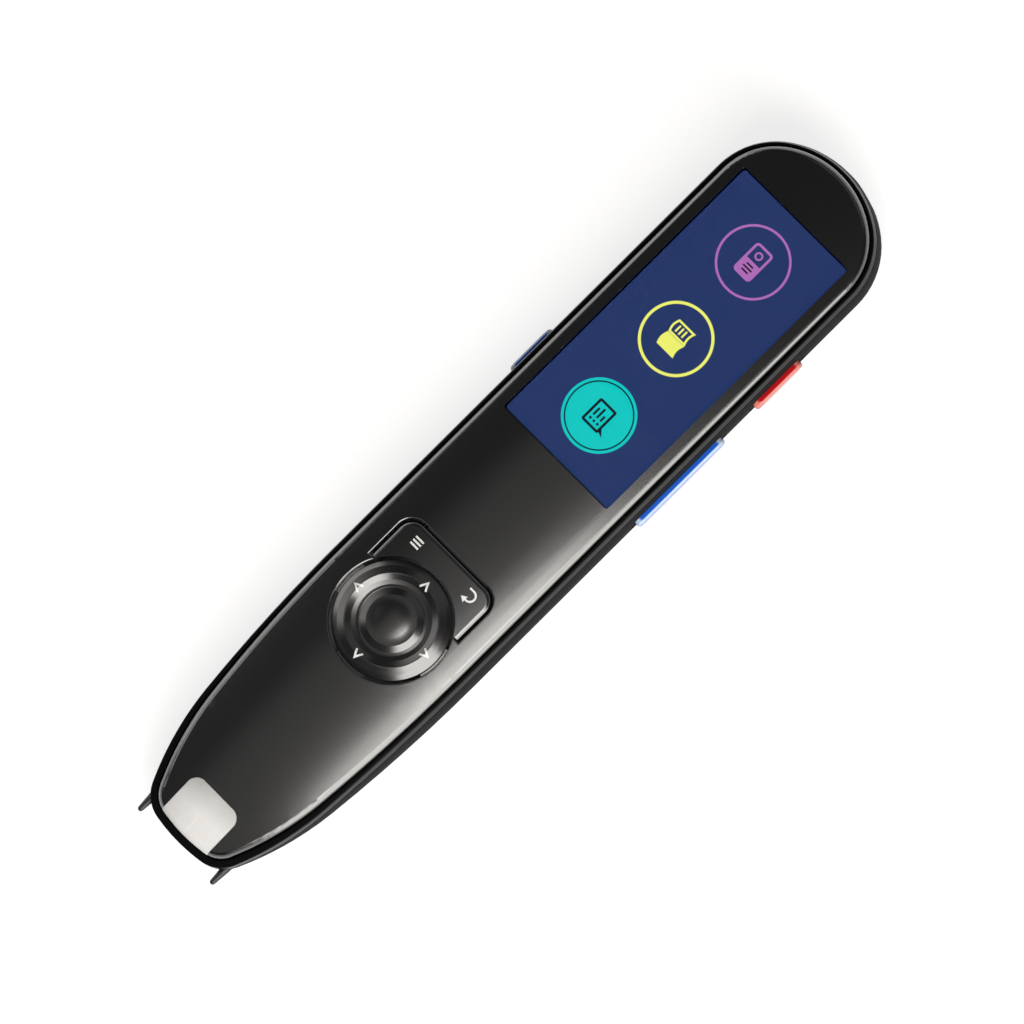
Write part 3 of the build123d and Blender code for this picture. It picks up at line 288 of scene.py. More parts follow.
def build_tint_group():
    """A colour that drifts a little towards a second one."""
    group, source, end = new_group(
        "colour_drift", [("Colour", "NodeSocketColor"), ("Second", "NodeSocketColor"),
                         ("Mask", "NodeSocketFloat"), ("Amount", "NodeSocketFloat")],
        [("Colour", "NodeSocketColor")])
    mix = group.nodes.new("ShaderNodeMix")
    mix.data_type = "RGBA"
    factor = math_node(group, "MULTIPLY", source.outputs["Mask"], source.outputs["Amount"],
                       clamp=True)
    link(group, factor, mix.inputs["Factor"])
    link(group, source.outputs["Colour"], mix.inputs["A"])
    link(group, source.outputs["Second"], mix.inputs["B"])
    link(group, mix.outputs["Result"], end.inputs["Colour"])


# Finishes

def scaled(colour, share):
    return tuple(channel * share for channel in colour)


def handle(tree, shader, roughness, variation):
    """Give a shader a roughness with faint smears; returns the mask of the smears."""
    node = place_group(tree, "handled_surface", roughness=roughness, variation=variation)
    link(tree, node.outputs["Roughness"], shader.inputs["Roughness"])
    return node.outputs["Smear"]


def drift_colour(tree, target, mask, colour, second, amount=1.0):
    """Feed a socket a colour that drifts towards a second one where the mask is high."""
    tint = place_group(tree, "colour_drift", colour=tuple(colour), second=tuple(second),
                       amount=amount)
    link(tree, mask, tint.inputs["Mask"])
    link(tree, tint.outputs["Colour"], target)


def surface(name, colour, roughness, variation=0.06, second=None, drift=0.15, grain=None, depth=0.0,
            specular=0.5, coat=0.0, coat_roughness=0.1, coat_ior=1.5):
    """A moulded or painted finish with grain, smears and a slight colour drift."""
    material, tree, shader = new_material(name)
    smear = handle(tree, shader, roughness, variation)
    lighter = second or tuple(min(1.0, channel * 1.35 + 0.002) for channel in colour)
    drift_colour(tree, shader.inputs["Base Color"], smear, colour, lighter, amount=drift)
    set_inputs(shader, {"Specular IOR Level": specular, "Coat Weight": coat,
                        "Coat Roughness": coat_roughness, "Coat IOR": coat_ior})
    if depth:
        height = place_group(tree, "moulded_grain", size=grain).outputs["Height"]
        add_bump(tree, shader, height, depth)
    return material


def add_bump(tree, shader, height, depth):
    bump = tree.nodes.new("ShaderNodeBump")
    bump.inputs["Distance"].default_value = depth
    link(tree, height, bump.inputs["Height"])
    link(tree, bump.outputs["Normal"], shader.inputs["Normal"])


def coated_black(name, roughness):
    """Black under a clear coat of the same roughness, with a grain too shallow to see singly."""
    look = settings("pen_finish")
    return surface(name, look.cover_colour, roughness, variation=0.05, grain=look.grain_size,
                   depth=0.0005 * MM, specular=1.0, coat=1.0, coat_roughness=roughness,
                   coat_ior=1.8)


def frosted_window():
    """Light grey window, a little darker and more mottled towards its rear and one side."""
    look = settings("pen_finish")
    material, tree, shader = new_material("frosted_window")
    low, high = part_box("nose_window")
    middle = (low + high) / 2
    mottle_share, rear_share, side_share, darkest = 0.2, 0.8, 0.5, 0.56
    axes = split_axes(tree, object_place(tree))
    mottle = object_noise(tree, scale=1200.0, detail=3.0, roughness=0.6, stretch=(1.0, 0.5, 1.0))
    mask = math_node(tree, "MULTIPLY", mottle, mottle_share)
    for axis, start, end, share in (("X", middle.x, high.x, rear_share),
                                    ("Y", middle.y, high.y, side_share)):
        part = math_node(tree, "MULTIPLY", ramp(tree, axes[axis], start, end), share)
        mask = math_node(tree, "ADD", mask, part)
    drift_colour(tree, shader.inputs["Base Color"], mask, look.window_colour,
                 scaled(look.window_colour, darkest), amount=0.85)
    set_inputs(shader, {"Roughness": 0.34, "Subsurface Weight": 0.25, "Subsurface Scale": 0.6,
                        "Subsurface Radius": (1.2 * MM, 1.2 * MM, 1.2 * MM)})
    return material


def clear_glass(name, colour, ior=1.49):
    """Clear glass or acrylic with faint smears."""
    material, tree, shader = new_material(name)
    handle(tree, shader, roughness=0.02, variation=0.02)
    set_inputs(shader, {"Base Color": (*colour, 1), "Transmission Weight": 1.0, "IOR": ior})
    return material


def lit(name, colour):
    """A self-lit colour of the screen image."""
    material, tree, shader = new_material(name)
    flicker = object_noise(tree, scale=400.0, detail=1.0, roughness=0.5)
    drift_colour(tree, shader.inputs["Emission Color"], flicker, colour, scaled(colour, 0.92),
                 amount=0.5)
    set_inputs(shader, {"Base Color": (0.004, 0.004, 0.005, 1), "Roughness": 0.6,
                        "Specular IOR Level": 0.1, "Emission Strength": 1.0})
    return material


def painted_highlight_mask(tree):
    """Where the painted highlight goes: one on an upper rounded edge, from its steep foot to just
    short of level.
    """
    foot, crest = (0.15, 0.45), (0.99, 0.9)
    normal = tree.nodes.new("ShaderNodeTexCoord").outputs["Normal"]
    upward = split_axes(tree, normal)["Z"]
    return math_node(tree, "MULTIPLY", ramp(tree, upward, *foot), ramp(tree, upward, *crest))


def side_button(name, colour, painted_highlight):
    """Glossy coloured button with a painted highlight: a paler colour on its upper rounded edge."""
    material, tree, shader = new_material(name)
    smear = handle(tree, shader, roughness=0.12, variation=0.06)
    highlighted = place_group(tree, "colour_drift", second=tuple(painted_highlight), amount=1.0)
    drift_colour(tree, highlighted.inputs["Colour"], smear, colour, scaled(colour, 0.72), amount=0.3)
    # Painted highlight: the paler colour is laid on the upper rounding, where the gloss would catch
    # the light.
    link(tree, painted_highlight_mask(tree), highlighted.inputs["Mask"])
    link(tree, highlighted.outputs["Colour"], shader.inputs["Base Color"])
    set_inputs(shader, {"Specular IOR Level": 0.2, "Coat Weight": 0.25, "Coat Roughness": 0.05,
                        "Subsurface Weight": 0.2, "Subsurface Scale": 0.5,
                        "Subsurface Radius": (0.8 * MM, 0.8 * MM, 0.8 * MM)})
    return material


def brushed(name, colour, roughness, along=(1.0, 14.0, 14.0)):
    """Drawn or stamped metal with fine lines along one direction."""
    material, tree, shader = new_material(name)
    roughness_spread = 0.22
    lines = object_noise(tree, scale=700.0, detail=4.0, roughness=0.65, stretch=along)
    spread = math_node(tree, "MULTIPLY", math_node(tree, "SUBTRACT", lines, 0.5), roughness_spread)
    link(tree, math_node(tree, "ADD", spread, roughness, clamp=True), shader.inputs["Roughness"])
    drift_colour(tree, shader.inputs["Base Color"], lines, colour, scaled(colour, 0.78), amount=0.6)
    shader.inputs["Metallic"].default_value = 1.0
    add_bump(tree, shader, lines, depth=0.002 * MM)
    return material


def circuit_board():
    """Green lacquer over copper tracks that run along and across the board."""
    material, tree, shader = new_material("circuit_board")
    tracks = tree.nodes.new("ShaderNodeTexBrick")
    link(tree, object_place(tree), tracks.inputs["Vector"])
    set_inputs(tracks, {"Scale": 260.0, "Mortar Size": 0.035, "Mortar Smooth": 0.3,
                        "Brick Width": 0.9, "Row Height": 0.22})
    drift_colour(tree, shader.inputs["Base Color"], tracks.outputs["Fac"], linear(18, 84, 48),
                 linear(70, 140, 74), amount=0.8)
    handle(tree, shader, roughness=0.28, variation=0.1)
    add_bump(tree, shader, tracks.outputs["Fac"], depth=0.02 * MM)
    return material


def woven_mesh():
    """Fine black cloth behind the speaker slots."""
    material, tree, shader = new_material("woven_mesh")
    place = object_place(tree)
    threads = []
    for direction in ("X", "Y"):
        wave = tree.nodes.new("ShaderNodeTexWave")
        wave.bands_direction = direction
        wave.inputs["Scale"].default_value = 900.0
        link(tree, place, wave.inputs["Vector"])
        threads.append(wave.outputs["Fac"])
    height = math_node(tree, "MAXIMUM", *threads)
    # Colour follows the threads' height: painted highlight on the raised threads and painted shade
    # in the gaps between them.
    drift_colour(tree, shader.inputs["Base Color"], height, linear(10, 10, 11), linear(52, 52, 54))
    shader.inputs["Roughness"].default_value = 0.75
    add_bump(tree, shader, height, depth=0.05 * MM)
    return material


def crinkled_foil():
    """Laminated pouch of a flat battery."""
    material, tree, shader = new_material("crinkled_foil")
    crease_and_shade = object_noise(tree, scale=320.0, detail=4.0, roughness=0.6)
    # The foil is darker where the crease noise is high: painted shade in the creases. The same
    # noise also gives the bump.
    drift_colour(tree, shader.inputs["Base Color"], crease_and_shade, linear(196, 198, 202),
                 linear(150, 152, 158), amount=0.7)
    set_inputs(shader, {"Metallic": 1.0, "Roughness": 0.34})
    add_bump(tree, shader, crease_and_shade, depth=0.06 * MM)
    return material


def printed_white():
    look = settings("pen_finish")
    return surface("printed_white", look.print_colour, 0.5, variation=0.1, drift=0.1,
                   second=scaled(look.print_colour, 0.85))


def node_finishes():
    """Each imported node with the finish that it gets."""
    look = settings("pen_finish")
    cover = coated_black("satin_cover", look.cover_roughness)
    keys = coated_black("key_black", look.key_roughness)
    trim = surface("frame_black", look.cover_colour, 0.3, variation=0.05, specular=0.06)
    housing = surface("housing_black", look.housing_colour, look.housing_roughness, variation=0.08,
                      grain=look.grain_size, depth=0.004 * MM, specular=0.02)
    tip = surface("tip_black", linear(16, 16, 17), 0.3, grain=0.2 * MM, depth=0.003 * MM)
    blue = side_button("blue_button", look.blue_colour, look.blue_painted_highlight)
    steel = brushed("bright_steel", linear(188, 189, 192), 0.3)
    plated = brushed("plated_shell", linear(200, 201, 205), 0.24, along=(14.0, 1.0, 14.0))
    board = circuit_board()
    chip = surface("chip_package", linear(34, 34, 36), 0.55, grain=0.1 * MM, depth=0.006 * MM)
    dark = surface("dark_moulding", linear(26, 26, 28), 0.48, grain=0.2 * MM, depth=0.004 * MM)
    foam = surface("black_foam", linear(24, 24, 25), 0.85, grain=0.35 * MM, depth=0.05 * MM)
    film = surface("amber_film", linear(186, 110, 34), 0.3, second=linear(140, 74, 20), drift=0.6,
                   coat=0.4)
    sleeve = surface("wire_sleeve", linear(180, 30, 26), 0.35, second=linear(140, 18, 16),
                     drift=0.5)
    ivory = surface("ivory_moulding", linear(224, 219, 200), 0.45, grain=0.2 * MM, depth=0.003 * MM)
    return {
        "front_cover": cover, "trim_frame": trim, "rear_housing": housing,
        "ok_button": keys, "direction_ring": keys, "menu_back_key": keys,
        "tip_fork": tip, "nose_window": frosted_window(),
        "scan_glass": clear_glass("scan_glass", linear(232, 240, 244)),
        "display_window": clear_glass("display_glass", (1.0, 1.0, 1.0), ior=1.16),
        "display_panel": lit("screen_ground", settings("pen_screen").ground_colour),
        "volume_rocker": blue, "record_button": blue,
        "power_button": side_button("red_button", look.red_colour, look.red_painted_highlight),
        "housing_screws": steel, "board_screws": steel, "optics_screws": steel,
        "tip_springs": steel, "ring_carrier": steel, "key_domes": steel,
        "charge_socket": plated, "headphone_jack": dark, "tip_switch": dark, "side_switches": dark,
        "speaker": dark, "optics_housing": dark, "lens_barrel": dark,
        "light_board": board, "sensor_board": board, "main_board": board,
        "processor": chip, "memory_chips": chip, "power_chips": chip, "board_connectors": ivory,
        "sensor_flex": film, "display_flex": film,
        "battery": crinkled_foil(), "battery_wires": sleeve, "speaker_wires": sleeve,
        "speaker_mesh": woven_mesh(),
        "display_gasket": foam, "battery_pad": foam, "speaker_gasket": foam,
        "keypad_mat": surface("grey_silicone", linear(120, 122, 126), 0.6),
    }


# Mesh helpers

def flat_outline(bm, points):
    """One flat face from the corners of an outline."""
    verts = [bm.verts.new((x, y, 0)) for x, y in points]
    return bm.faces.new(verts)


def flat_box(bm, low, high):
    """A flat rectangle between two corners."""
    return flat_outline(bm, [low, (high[0], low[1]), high, (low[0], high[1])])


def flat_bar(bm, centre, length, width):
    """A flat bar across the pen."""
    x, y = centre
    flat_box(bm, (x - width / 2, y - length / 2), (x + width / 2, y + length / 2))


def flat_ring(bm, centre, outer, inner, segments=96):
    """A flat ring between two circles."""
    place = Matrix.Translation((*centre, 0))
    edges = []
    for radius in (outer, inner):
        made = bmesh.ops.create_circle(bm, segments=segments, radius=radius, matrix=place)
        edges += list({edge for vert in made["verts"] for edge in vert.link_edges})
    bmesh.ops.bridge_loops(bm, edges=edges)


def flat_disc(bm, centre, radius, segments=96):
    place = Matrix.Translation((*centre, 0))
    bmesh.ops.create_circle(bm, cap_ends=True, segments=segments, radius=radius, matrix=place)


def rounded_face(bm, low, high, corner, segments=6):
    """A flat rounded rectangle between two corners."""
    face = flat_box(bm, low, high)
    bmesh.ops.bevel(bm, geom=list(face.verts), offset=corner, segments=segments, profile=0.5,
                    affect="VERTICES", material=-1)


def open_middle(bm, face, stroke):
    """Keep only a stroke along a flat face's edge."""
    face.normal_update()
    bmesh.ops.inset_region(bm, faces=[face], thickness=stroke, use_boundary=True,
                           use_even_offset=True)
    bmesh.ops.delete(bm, geom=[face], context="FACES")


def rounded_frame(bm, low, high, corner, stroke):
    """A flat rounded outline with an open middle."""
    face_count = len(bm.faces)
    rounded_face(bm, low, high, corner)
    bm.faces.ensure_lookup_table()
    open_middle(bm, bm.faces[face_count], stroke)


def extend_edge(bm, edge, distance):
    """Draw a flat strip out of an edge, across the pen; returns the strip's far edge."""
    made = bmesh.ops.extrude_edge_only(bm, edges=[edge])["geom"]
    verts = [item for item in made if isinstance(item, bmesh.types.BMVert)]
    bmesh.ops.translate(bm, verts=verts, vec=(0, distance, 0))
    return next(item for item in made if isinstance(item, bmesh.types.BMEdge)
                and all(vert in verts for vert in item.verts))


def thicken(bm, low, high):
    """Turn flat faces at level zero into solids between two levels."""
    faces = list(bm.faces)
    bmesh.ops.translate(bm, verts=list(bm.verts), vec=(0, 0, low))
    made = bmesh.ops.extrude_face_region(bm, geom=faces, use_keep_orig=True)
    top = [item for item in made["geom"] if isinstance(item, bmesh.types.BMVert)]
    bmesh.ops.translate(bm, verts=top, vec=(0, 0, high - low))
    bmesh.ops.recalc_face_normals(bm, faces=list(bm.faces))


def press_on(bm, node, step, film):
    """Lay flat faces on a node's upper surface as a thin film, cut into steps that follow it."""
    for axis, normal in enumerate(((1, 0, 0), (0, 1, 0))):
        start = min(vert.co[axis] for vert in bm.verts)
        end = max(vert.co[axis] for vert in bm.verts)
        for i in range(1, math.ceil((end - start) / step)):
            point = Vector()
            point[axis] = start + i * step
            geometry = list(bm.verts) + list(bm.edges) + list(bm.faces)
            bmesh.ops.bisect_plane(bm, geom=geometry, plane_co=point, plane_no=normal, dist=1e-8)
    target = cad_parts[node].data
    tree = BVHTree.FromPolygons([vert.co for vert in target.vertices],
                                [tuple(face.vertices) for face in target.polygons])
    thicken(bm, -film, film)
    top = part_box(node)[1].z + film
    for vert in bm.verts:
        lift = vert.co.z
        hit = tree.ray_cast(Vector((vert.co.x, vert.co.y, top)), Vector((0, 0, -1)))[0]
        if hit is None:
            raise RuntimeError(f"a mark on {node} reaches past its surface")
        vert.co.z = hit.z + lift


def add_object(name, bm, material, smooth=False):
    """Make an object from a bmesh, in place."""
    mesh = bpy.data.meshes.new(name)
    bm.to_mesh(mesh)
    bm.free()
    if smooth:
        mesh.shade_smooth()
    mesh.materials.append(material)
    piece = bpy.data.objects.new(name, mesh)
    bpy.context.scene.collection.objects.link(piece)
    return piece


def finish_piece(name, bm, body, material, smooth=False):
    """Make a piece of the pen from a bmesh, riding on its body."""
    piece = add_object(name, bm, material, smooth)
    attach(piece, body)


def print_mark(name, bm, node, body, step=0.4 * MM):
    """Print flat faces on a node in white, riding on its body."""
    press_on(bm, node, step, settings("pen_marks").film)
    finish_piece(name, bm, body, bpy.data.materials["printed_white"])


def keys_centre():
    low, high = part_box("ok_button")
    return (low + high) / 2


# Printed marks

def build_chevrons():
    """Four arrow heads on the direction ring, pointing outwards."""
    marks = settings("pen_marks")
    centre = keys_centre()
    back = Vector((-math.cos(marks.chevron_spread), math.sin(marks.chevron_spread), 0))
    side = Vector((math.sin(marks.chevron_spread), math.cos(marks.chevron_spread), 0))
    tip = Vector((marks.chevron_reach, 0, 0))
    arm = tip + back * marks.chevron_arm
    inner_arm = arm - side * marks.stroke
    heel = tip - Vector((marks.stroke / math.sin(marks.chevron_spread), 0, 0))
    mirrored = Vector((1, -1, 1))
    outline = [tip, arm, inner_arm, heel, inner_arm * mirrored, arm * mirrored]
    bm = bmesh.new()
    for quarter in range(4):
        turn = Matrix.Rotation(math.radians(90 * quarter), 3, "Z")
        flat_outline(bm, [(turn @ point + centre).to_2d() for point in outline])
    print_mark("ring_chevrons", bm, "direction_ring", "direction_ring", step=0.14 * MM)


def build_list_mark():
    """Three bars on the key: the menu mark."""
    marks = settings("pen_marks")
    x = keys_centre().x + marks.mark_reach
    bm = bmesh.new()
    for place in (-1, 0, 1):
        centre = (x + place * marks.bar_pitch, marks.mark_spread)
        flat_bar(bm, centre, marks.bar_length, marks.stroke)
    print_mark("list_mark", bm, "menu_back_key", "menu_back_key")


def build_return_mark():
    """A return arrow on the key: out, round a half turn and back."""
    marks = settings("pen_marks")
    radius, half = marks.arrow_radius, marks.stroke / 2
    x = keys_centre().x + marks.mark_reach
    y = -marks.mark_spread - 0.25 * MM
    run, head = 0.5 * MM, 0.95 * MM
    start = y + run + head * 0.4
    neck = y + run - head * 0.35
    head_half = head * 0.62
    bm = bmesh.new()
    edge = bm.edges.new([bm.verts.new((x + radius + side * half, start, 0)) for side in (-1, 1)])
    edge = extend_edge(bm, edge, y - start)
    made = bmesh.ops.spin(bm, geom=[edge, *edge.verts], cent=(x, y, 0), axis=(0, 0, 1),
                          angle=-math.pi, steps=14, use_duplicate=False)["geom_last"]
    edge = next(item for item in made if isinstance(item, bmesh.types.BMEdge))
    extend_edge(bm, edge, neck - y)
    flat_outline(bm, [(x - radius - head_half, neck), (x - radius, neck + head),
                      (x - radius + head_half, neck)])
    bmesh.ops.remove_doubles(bm, verts=list(bm.verts), dist=1e-7)
    print_mark("return_mark", bm, "menu_back_key", "menu_back_key")


def build_aiming_line():
    """The aiming line on the nose window's centreline."""
    marks = settings("pen_marks")
    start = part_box("nose_window")[0].x + 0.2 * MM
    half = marks.aim_width / 2
    bm = bmesh.new()
    flat_box(bm, (start, -half), (start + marks.aim_length, half))
    print_mark("aiming_line", bm, "nose_window", "body")


# Screen image

def screen_place(share):
    """A place on the lit area's centreline, as a share of its length from the nose end."""
    low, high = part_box("display_window")
    return (low.x + (high.x - low.x) * share, 0.0)


def screen_piece(name, bm, material, layer):
    """Lay a flat shape on the panel, in one of its thin layers."""
    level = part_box("display_panel")[1].z
    film = 0.02 * MM
    thicken(bm, level + layer * film, level + (layer + 1) * film)
    finish_piece(name, bm, "body", material)


def build_scan_icon():
    """The picked entry: a filled disc with a dark ring line and a speech bubble of lines."""
    screen = settings("pen_screen")
    centre = screen_place(screen.first_place)
    x, y = centre
    bm = bmesh.new()
    flat_disc(bm, centre, screen.ring_radius)
    screen_piece("picked_disc", bm, lit("screen_teal", screen.scan_colour), layer=0)
    line_radius, line_half = screen.ring_radius - 0.6 * MM, 0.12 * MM
    half_x, half_y, stroke, corner = 2.35 * MM, 1.85 * MM, 0.44 * MM, 0.35 * MM
    tail, tail_width = 1.0 * MM, 1.1 * MM
    bm = bmesh.new()
    flat_ring(bm, centre, line_radius + line_half, line_radius - line_half)
    rounded_frame(bm, (x - half_x, y - half_y), (x + half_x, y + half_y), corner, stroke)
    flat_outline(bm, [(x - half_x + corner, y - half_y), (x - half_x, y - half_y - tail),
                      (x - half_x + tail_width, y - half_y)])
    bar_start, bar_half, bar_pitch = x - 0.55 * MM, 0.19 * MM, 0.8 * MM
    dot_x, dot_radius = x - 1.2 * MM, 0.24 * MM
    for place, length in ((1, 1.5 * MM), (0, 2.0 * MM), (-1, 1.1 * MM)):
        bar_y = y + place * bar_pitch
        flat_box(bm, (bar_start, bar_y - bar_half), (bar_start + length, bar_y + bar_half))
        flat_disc(bm, (dot_x, bar_y), dot_radius, segments=20)
    screen_piece("picked_bubble", bm, lit("screen_ink", screen.ink_colour), layer=1)


def page_outline(x, y, length, half, bow, steps=8):
    """A book page from the spine at x: straight sides and two edges that bow the same way."""
    near, far = [], []
    for i in range(steps + 1):
        share = i / steps
        arch = bow * math.sin(math.pi * share)
        near.append((x + length * share, y + half + arch))
        far.append((x + length * share, y - half + arch))
    return near + far[::-1]


def build_book_icon():
    """An open book in a ring: one plain page and one page of lines."""
    screen = settings("pen_screen")
    centre = screen_place(screen.middle_place)
    x, y = centre
    half, length, bow, stroke, fold = 1.85 * MM, 2.65 * MM, 0.32 * MM, 0.36 * MM, 0.05 * MM
    bm = bmesh.new()
    flat_ring(bm, centre, screen.ring_radius, screen.ring_radius - screen.ring_stroke)
    flat_outline(bm, page_outline(x, y, -length, half, bow))
    open_middle(bm, flat_outline(bm, page_outline(x + fold, y, length, half, bow)), stroke)
    line_start, line_end = x + 0.75 * MM, x + 2.05 * MM
    line_half, line_pitch, line_shift = 0.16 * MM, 0.72 * MM, bow * 0.8
    for place in (-1, 0, 1):
        line_y = y + place * line_pitch + line_shift
        flat_box(bm, (line_start, line_y - line_half), (line_end, line_y + line_half))
    screen_piece("book_icon", bm, lit("screen_yellow", screen.book_colour), layer=0)


def build_card_icon():
    """A two-part card in a ring: a filled half with dark bars, an open half with a small ring."""
    screen = settings("pen_screen")
    centre = screen_place(screen.last_place)
    x, y = centre
    half_x, half_y, stroke, corner = 3.0 * MM, 1.85 * MM, 0.42 * MM, 0.7 * MM
    eye_x, eye_outer, eye_inner = x + 1.3 * MM, 0.72 * MM, 0.42 * MM
    inner = half_y - stroke
    bm = bmesh.new()
    flat_ring(bm, centre, screen.ring_radius, screen.ring_radius - screen.card_stroke)
    rounded_frame(bm, (x - half_x, y - half_y), (x + half_x, y + half_y), corner, stroke)
    flat_box(bm, (x - half_x + stroke, y - inner), (x, y + inner))
    flat_ring(bm, (eye_x, y), eye_outer, eye_inner, segments=32)
    screen_piece("card_icon", bm, lit("screen_purple", screen.card_colour), layer=0)
    bars_x, bar_pitch, bar_width = x - 1.35 * MM, 0.62 * MM, 0.28 * MM
    bm = bmesh.new()
    for place, length in ((-1, 1.4 * MM), (0, 1.9 * MM), (1, 1.4 * MM)):
        flat_bar(bm, (bars_x + place * bar_pitch, y), length, bar_width)
    screen_piece("card_bars", bm, bpy.data.materials["screen_ink"], layer=1)


# Optics seen through the scanning glass

def build_lamp_faces():
    """Bright phosphor faces of the two lamps beside the lens."""
    board_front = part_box("light_board")[0].x
    spacing, level, side, thickness, edge = 9.6 * MM, 4.6 * MM, 1.1 * MM, 0.1 * MM, 0.03 * MM
    size = Matrix.Diagonal((thickness, side, side, 1))
    bm = bmesh.new()
    for y in (-spacing / 2, spacing / 2):
        place = Matrix.Translation((board_front, y, level))
        bmesh.ops.create_cube(bm, size=1.0, matrix=place @ size)
    bmesh.ops.bevel(bm, geom=list(bm.edges), offset=edge, segments=2, profile=0.5,
                    affect="EDGES", material=-1)
    lamp = surface("lamp_phosphor", linear(240, 214, 96), 0.4)
    finish_piece("lamp_faces", bm, "body", lamp)


def build_lens_element():
    """The front lens in its barrel: a shallow coated glass cap on the tilted axis."""
    low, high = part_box("lens_barrel")
    tilt = math.radians(20)
    axis = Vector((math.cos(tilt), 0, math.sin(tilt)))
    barrel_length, recess = 6.0 * MM, 0.45 * MM
    radius, bulge = 1.68 * MM, 0.4 * MM
    centre = (low + high) / 2 - axis * (barrel_length / 2 - recess)
    place = Matrix.Translation(centre) @ axis.to_track_quat("Z", "Y").to_matrix().to_4x4()
    size = Matrix.Diagonal((radius, radius, bulge, 1))
    bm = bmesh.new()
    bmesh.ops.create_uvsphere(bm, u_segments=48, v_segments=24, radius=1.0)
    bmesh.ops.transform(bm, verts=list(bm.verts), matrix=place @ size)
    glass = surface("coated_lens", linear(24, 14, 52), 0.05, coat=1.0, coat_roughness=0.02)
    finish_piece("lens_element", bm, "body", glass, smooth=True)


# Stage

def ray_share(tree):
    """One for rays that see the background: camera, glossy and transmission rays."""
    rays = tree.nodes.new("ShaderNodeLightPath").outputs
    seen = math_node(tree, "ADD", rays["Is Camera Ray"], rays["Is Glossy Ray"])
    return math_node(tree, "ADD", seen, rays["Is Transmission Ray"], clamp=True)


def paper_material():
    """White paper that keeps the pen's shadow and shows white in the picture and in gloss."""
    material, tree, shader = new_material("white_paper")
    glow = 0.76
    set_inputs(shader, {"Base Color": (0.5, 0.5, 0.5, 1), "Roughness": 0.9,
                        "Specular IOR Level": 0.0, "Emission Color": (1, 1, 1, 1)})
    fibres = object_noise(tree, scale=350.0, detail=3.0, roughness=0.6)
    add_bump(tree, shader, fibres, depth=0.05 * MM)
    strength = math_node(tree, "MULTIPLY", ray_share(tree), glow)
    link(tree, strength, shader.inputs["Emission Strength"])
    under = tree.nodes.new("ShaderNodeNewGeometry").outputs["Backfacing"]
    clear = tree.nodes.new("ShaderNodeBsdfTransparent")
    mix = tree.nodes.new("ShaderNodeMixShader")
    link(tree, under, mix.inputs["Fac"])
    link(tree, shader.outputs["BSDF"], mix.inputs[1])
    link(tree, clear.outputs["BSDF"], mix.inputs[2])
    link(tree, mix.outputs["Shader"], tree.nodes["Material Output"].inputs["Surface"])
    return material


def build_paper():
    """A round sheet of paper that curves up into a wall all round, just under the pen."""
    flat, bend, wall, steps, gap = 2.4, 0.5, 1.4, 8, 0.02 * MM
    points = [(0.0, 0.0), (flat, 0.0)]
    for i in range(1, steps + 1):
        angle = math.radians(90 * i / steps)
        points.append((flat + bend * math.sin(angle), bend - bend * math.cos(angle)))
    points.append((flat + bend, wall))
    bm = bmesh.new()
    verts = [bm.verts.new((x, 0, z - gap)) for x, z in points]
    edges = [bm.edges.new(pair) for pair in zip(verts, verts[1:])]
    bmesh.ops.spin(bm, geom=verts + edges, cent=(0, 0, 0), axis=(0, 0, 1), angle=math.tau, steps=96,
                   use_merge=True)
    bmesh.ops.remove_doubles(bm, verts=list(bm.verts), dist=1e-6)
    bmesh.ops.recalc_face_normals(bm, faces=list(bm.faces))
    floor_normals = [face.normal.z for face in bm.faces if face.calc_center_median().z < 1.0 * MM]
    if sum(floor_normals) < 0:
        bmesh.ops.reverse_faces(bm, faces=list(bm.faces))
    add_object("paper_sweep", bm, paper_material(), smooth=True)


def build_world():
    world = bpy.data.worlds.new("dim_room")
    world.use_nodes = True
    bpy.context.scene.world = world
    set_inputs(world.node_tree.nodes["Background"],
               {"Color": (1, 1, 1, 1), "Strength": settings("pen_stage").world_level})


def add_panel(name, level, ends, angles, reach):
    """A flat light along the pen, between two angles in degrees from upright, facing the pen."""
    low, high = (math.radians(angle) for angle in angles)
    middle = (low + high) / 2
    away = Vector((0, math.sin(middle), math.cos(middle)))
    along = Vector((1, 0, 0))
    light = bpy.data.lights.new(name, "AREA")
    light.shape = "RECTANGLE"
    light.size = ends[1] - ends[0]
    light.size_y = 2 * reach * math.tan(abs(high - low) / 2)
    light.energy = level * math.pi * light.size * light.size_y
    light.color = WARM_WHITE
    lamp = bpy.data.objects.new(name, light)
    place = Matrix.Translation(away * reach + along * (ends[0] + ends[1]) / 2)
    facing = Matrix((along, away.cross(along), away)).transposed().to_4x4()
    lamp.matrix_world = place @ facing
    lamp.visible_camera = False
    bpy.context.scene.collection.objects.link(lamp)


def build_lights():
    """A softbox above the nose, panels to each side and weak fills above and beyond the tail."""
    stage = settings("pen_stage")
    low_level = stage.side_level * 0.8
    add_panel("softbox", stage.key_level, ends=(-0.155, 0.008), angles=(-7.2, -27), reach=0.33)
    add_panel("side_panel", stage.side_level, ends=(-0.34, 0.04), angles=(-28, -50), reach=0.50)
    add_panel("low_panel", low_level, ends=(-0.34, 0.11), angles=(-50, -84), reach=0.50)
    add_panel("far_panel", stage.far_level, ends=(-0.45, 0.35), angles=(50, 82), reach=0.80)
    add_panel("rim_panel", stage.far_level, ends=(-0.90, -0.06), angles=(27, 48), reach=1.50)
    add_panel("top_fill", stage.fill_level, ends=(-0.30, 0.03), angles=(-6, 13), reach=0.33)
    add_panel("tail_fill", stage.fill_level, ends=(0.35, 0.85), angles=(-25, 25), reach=0.60)


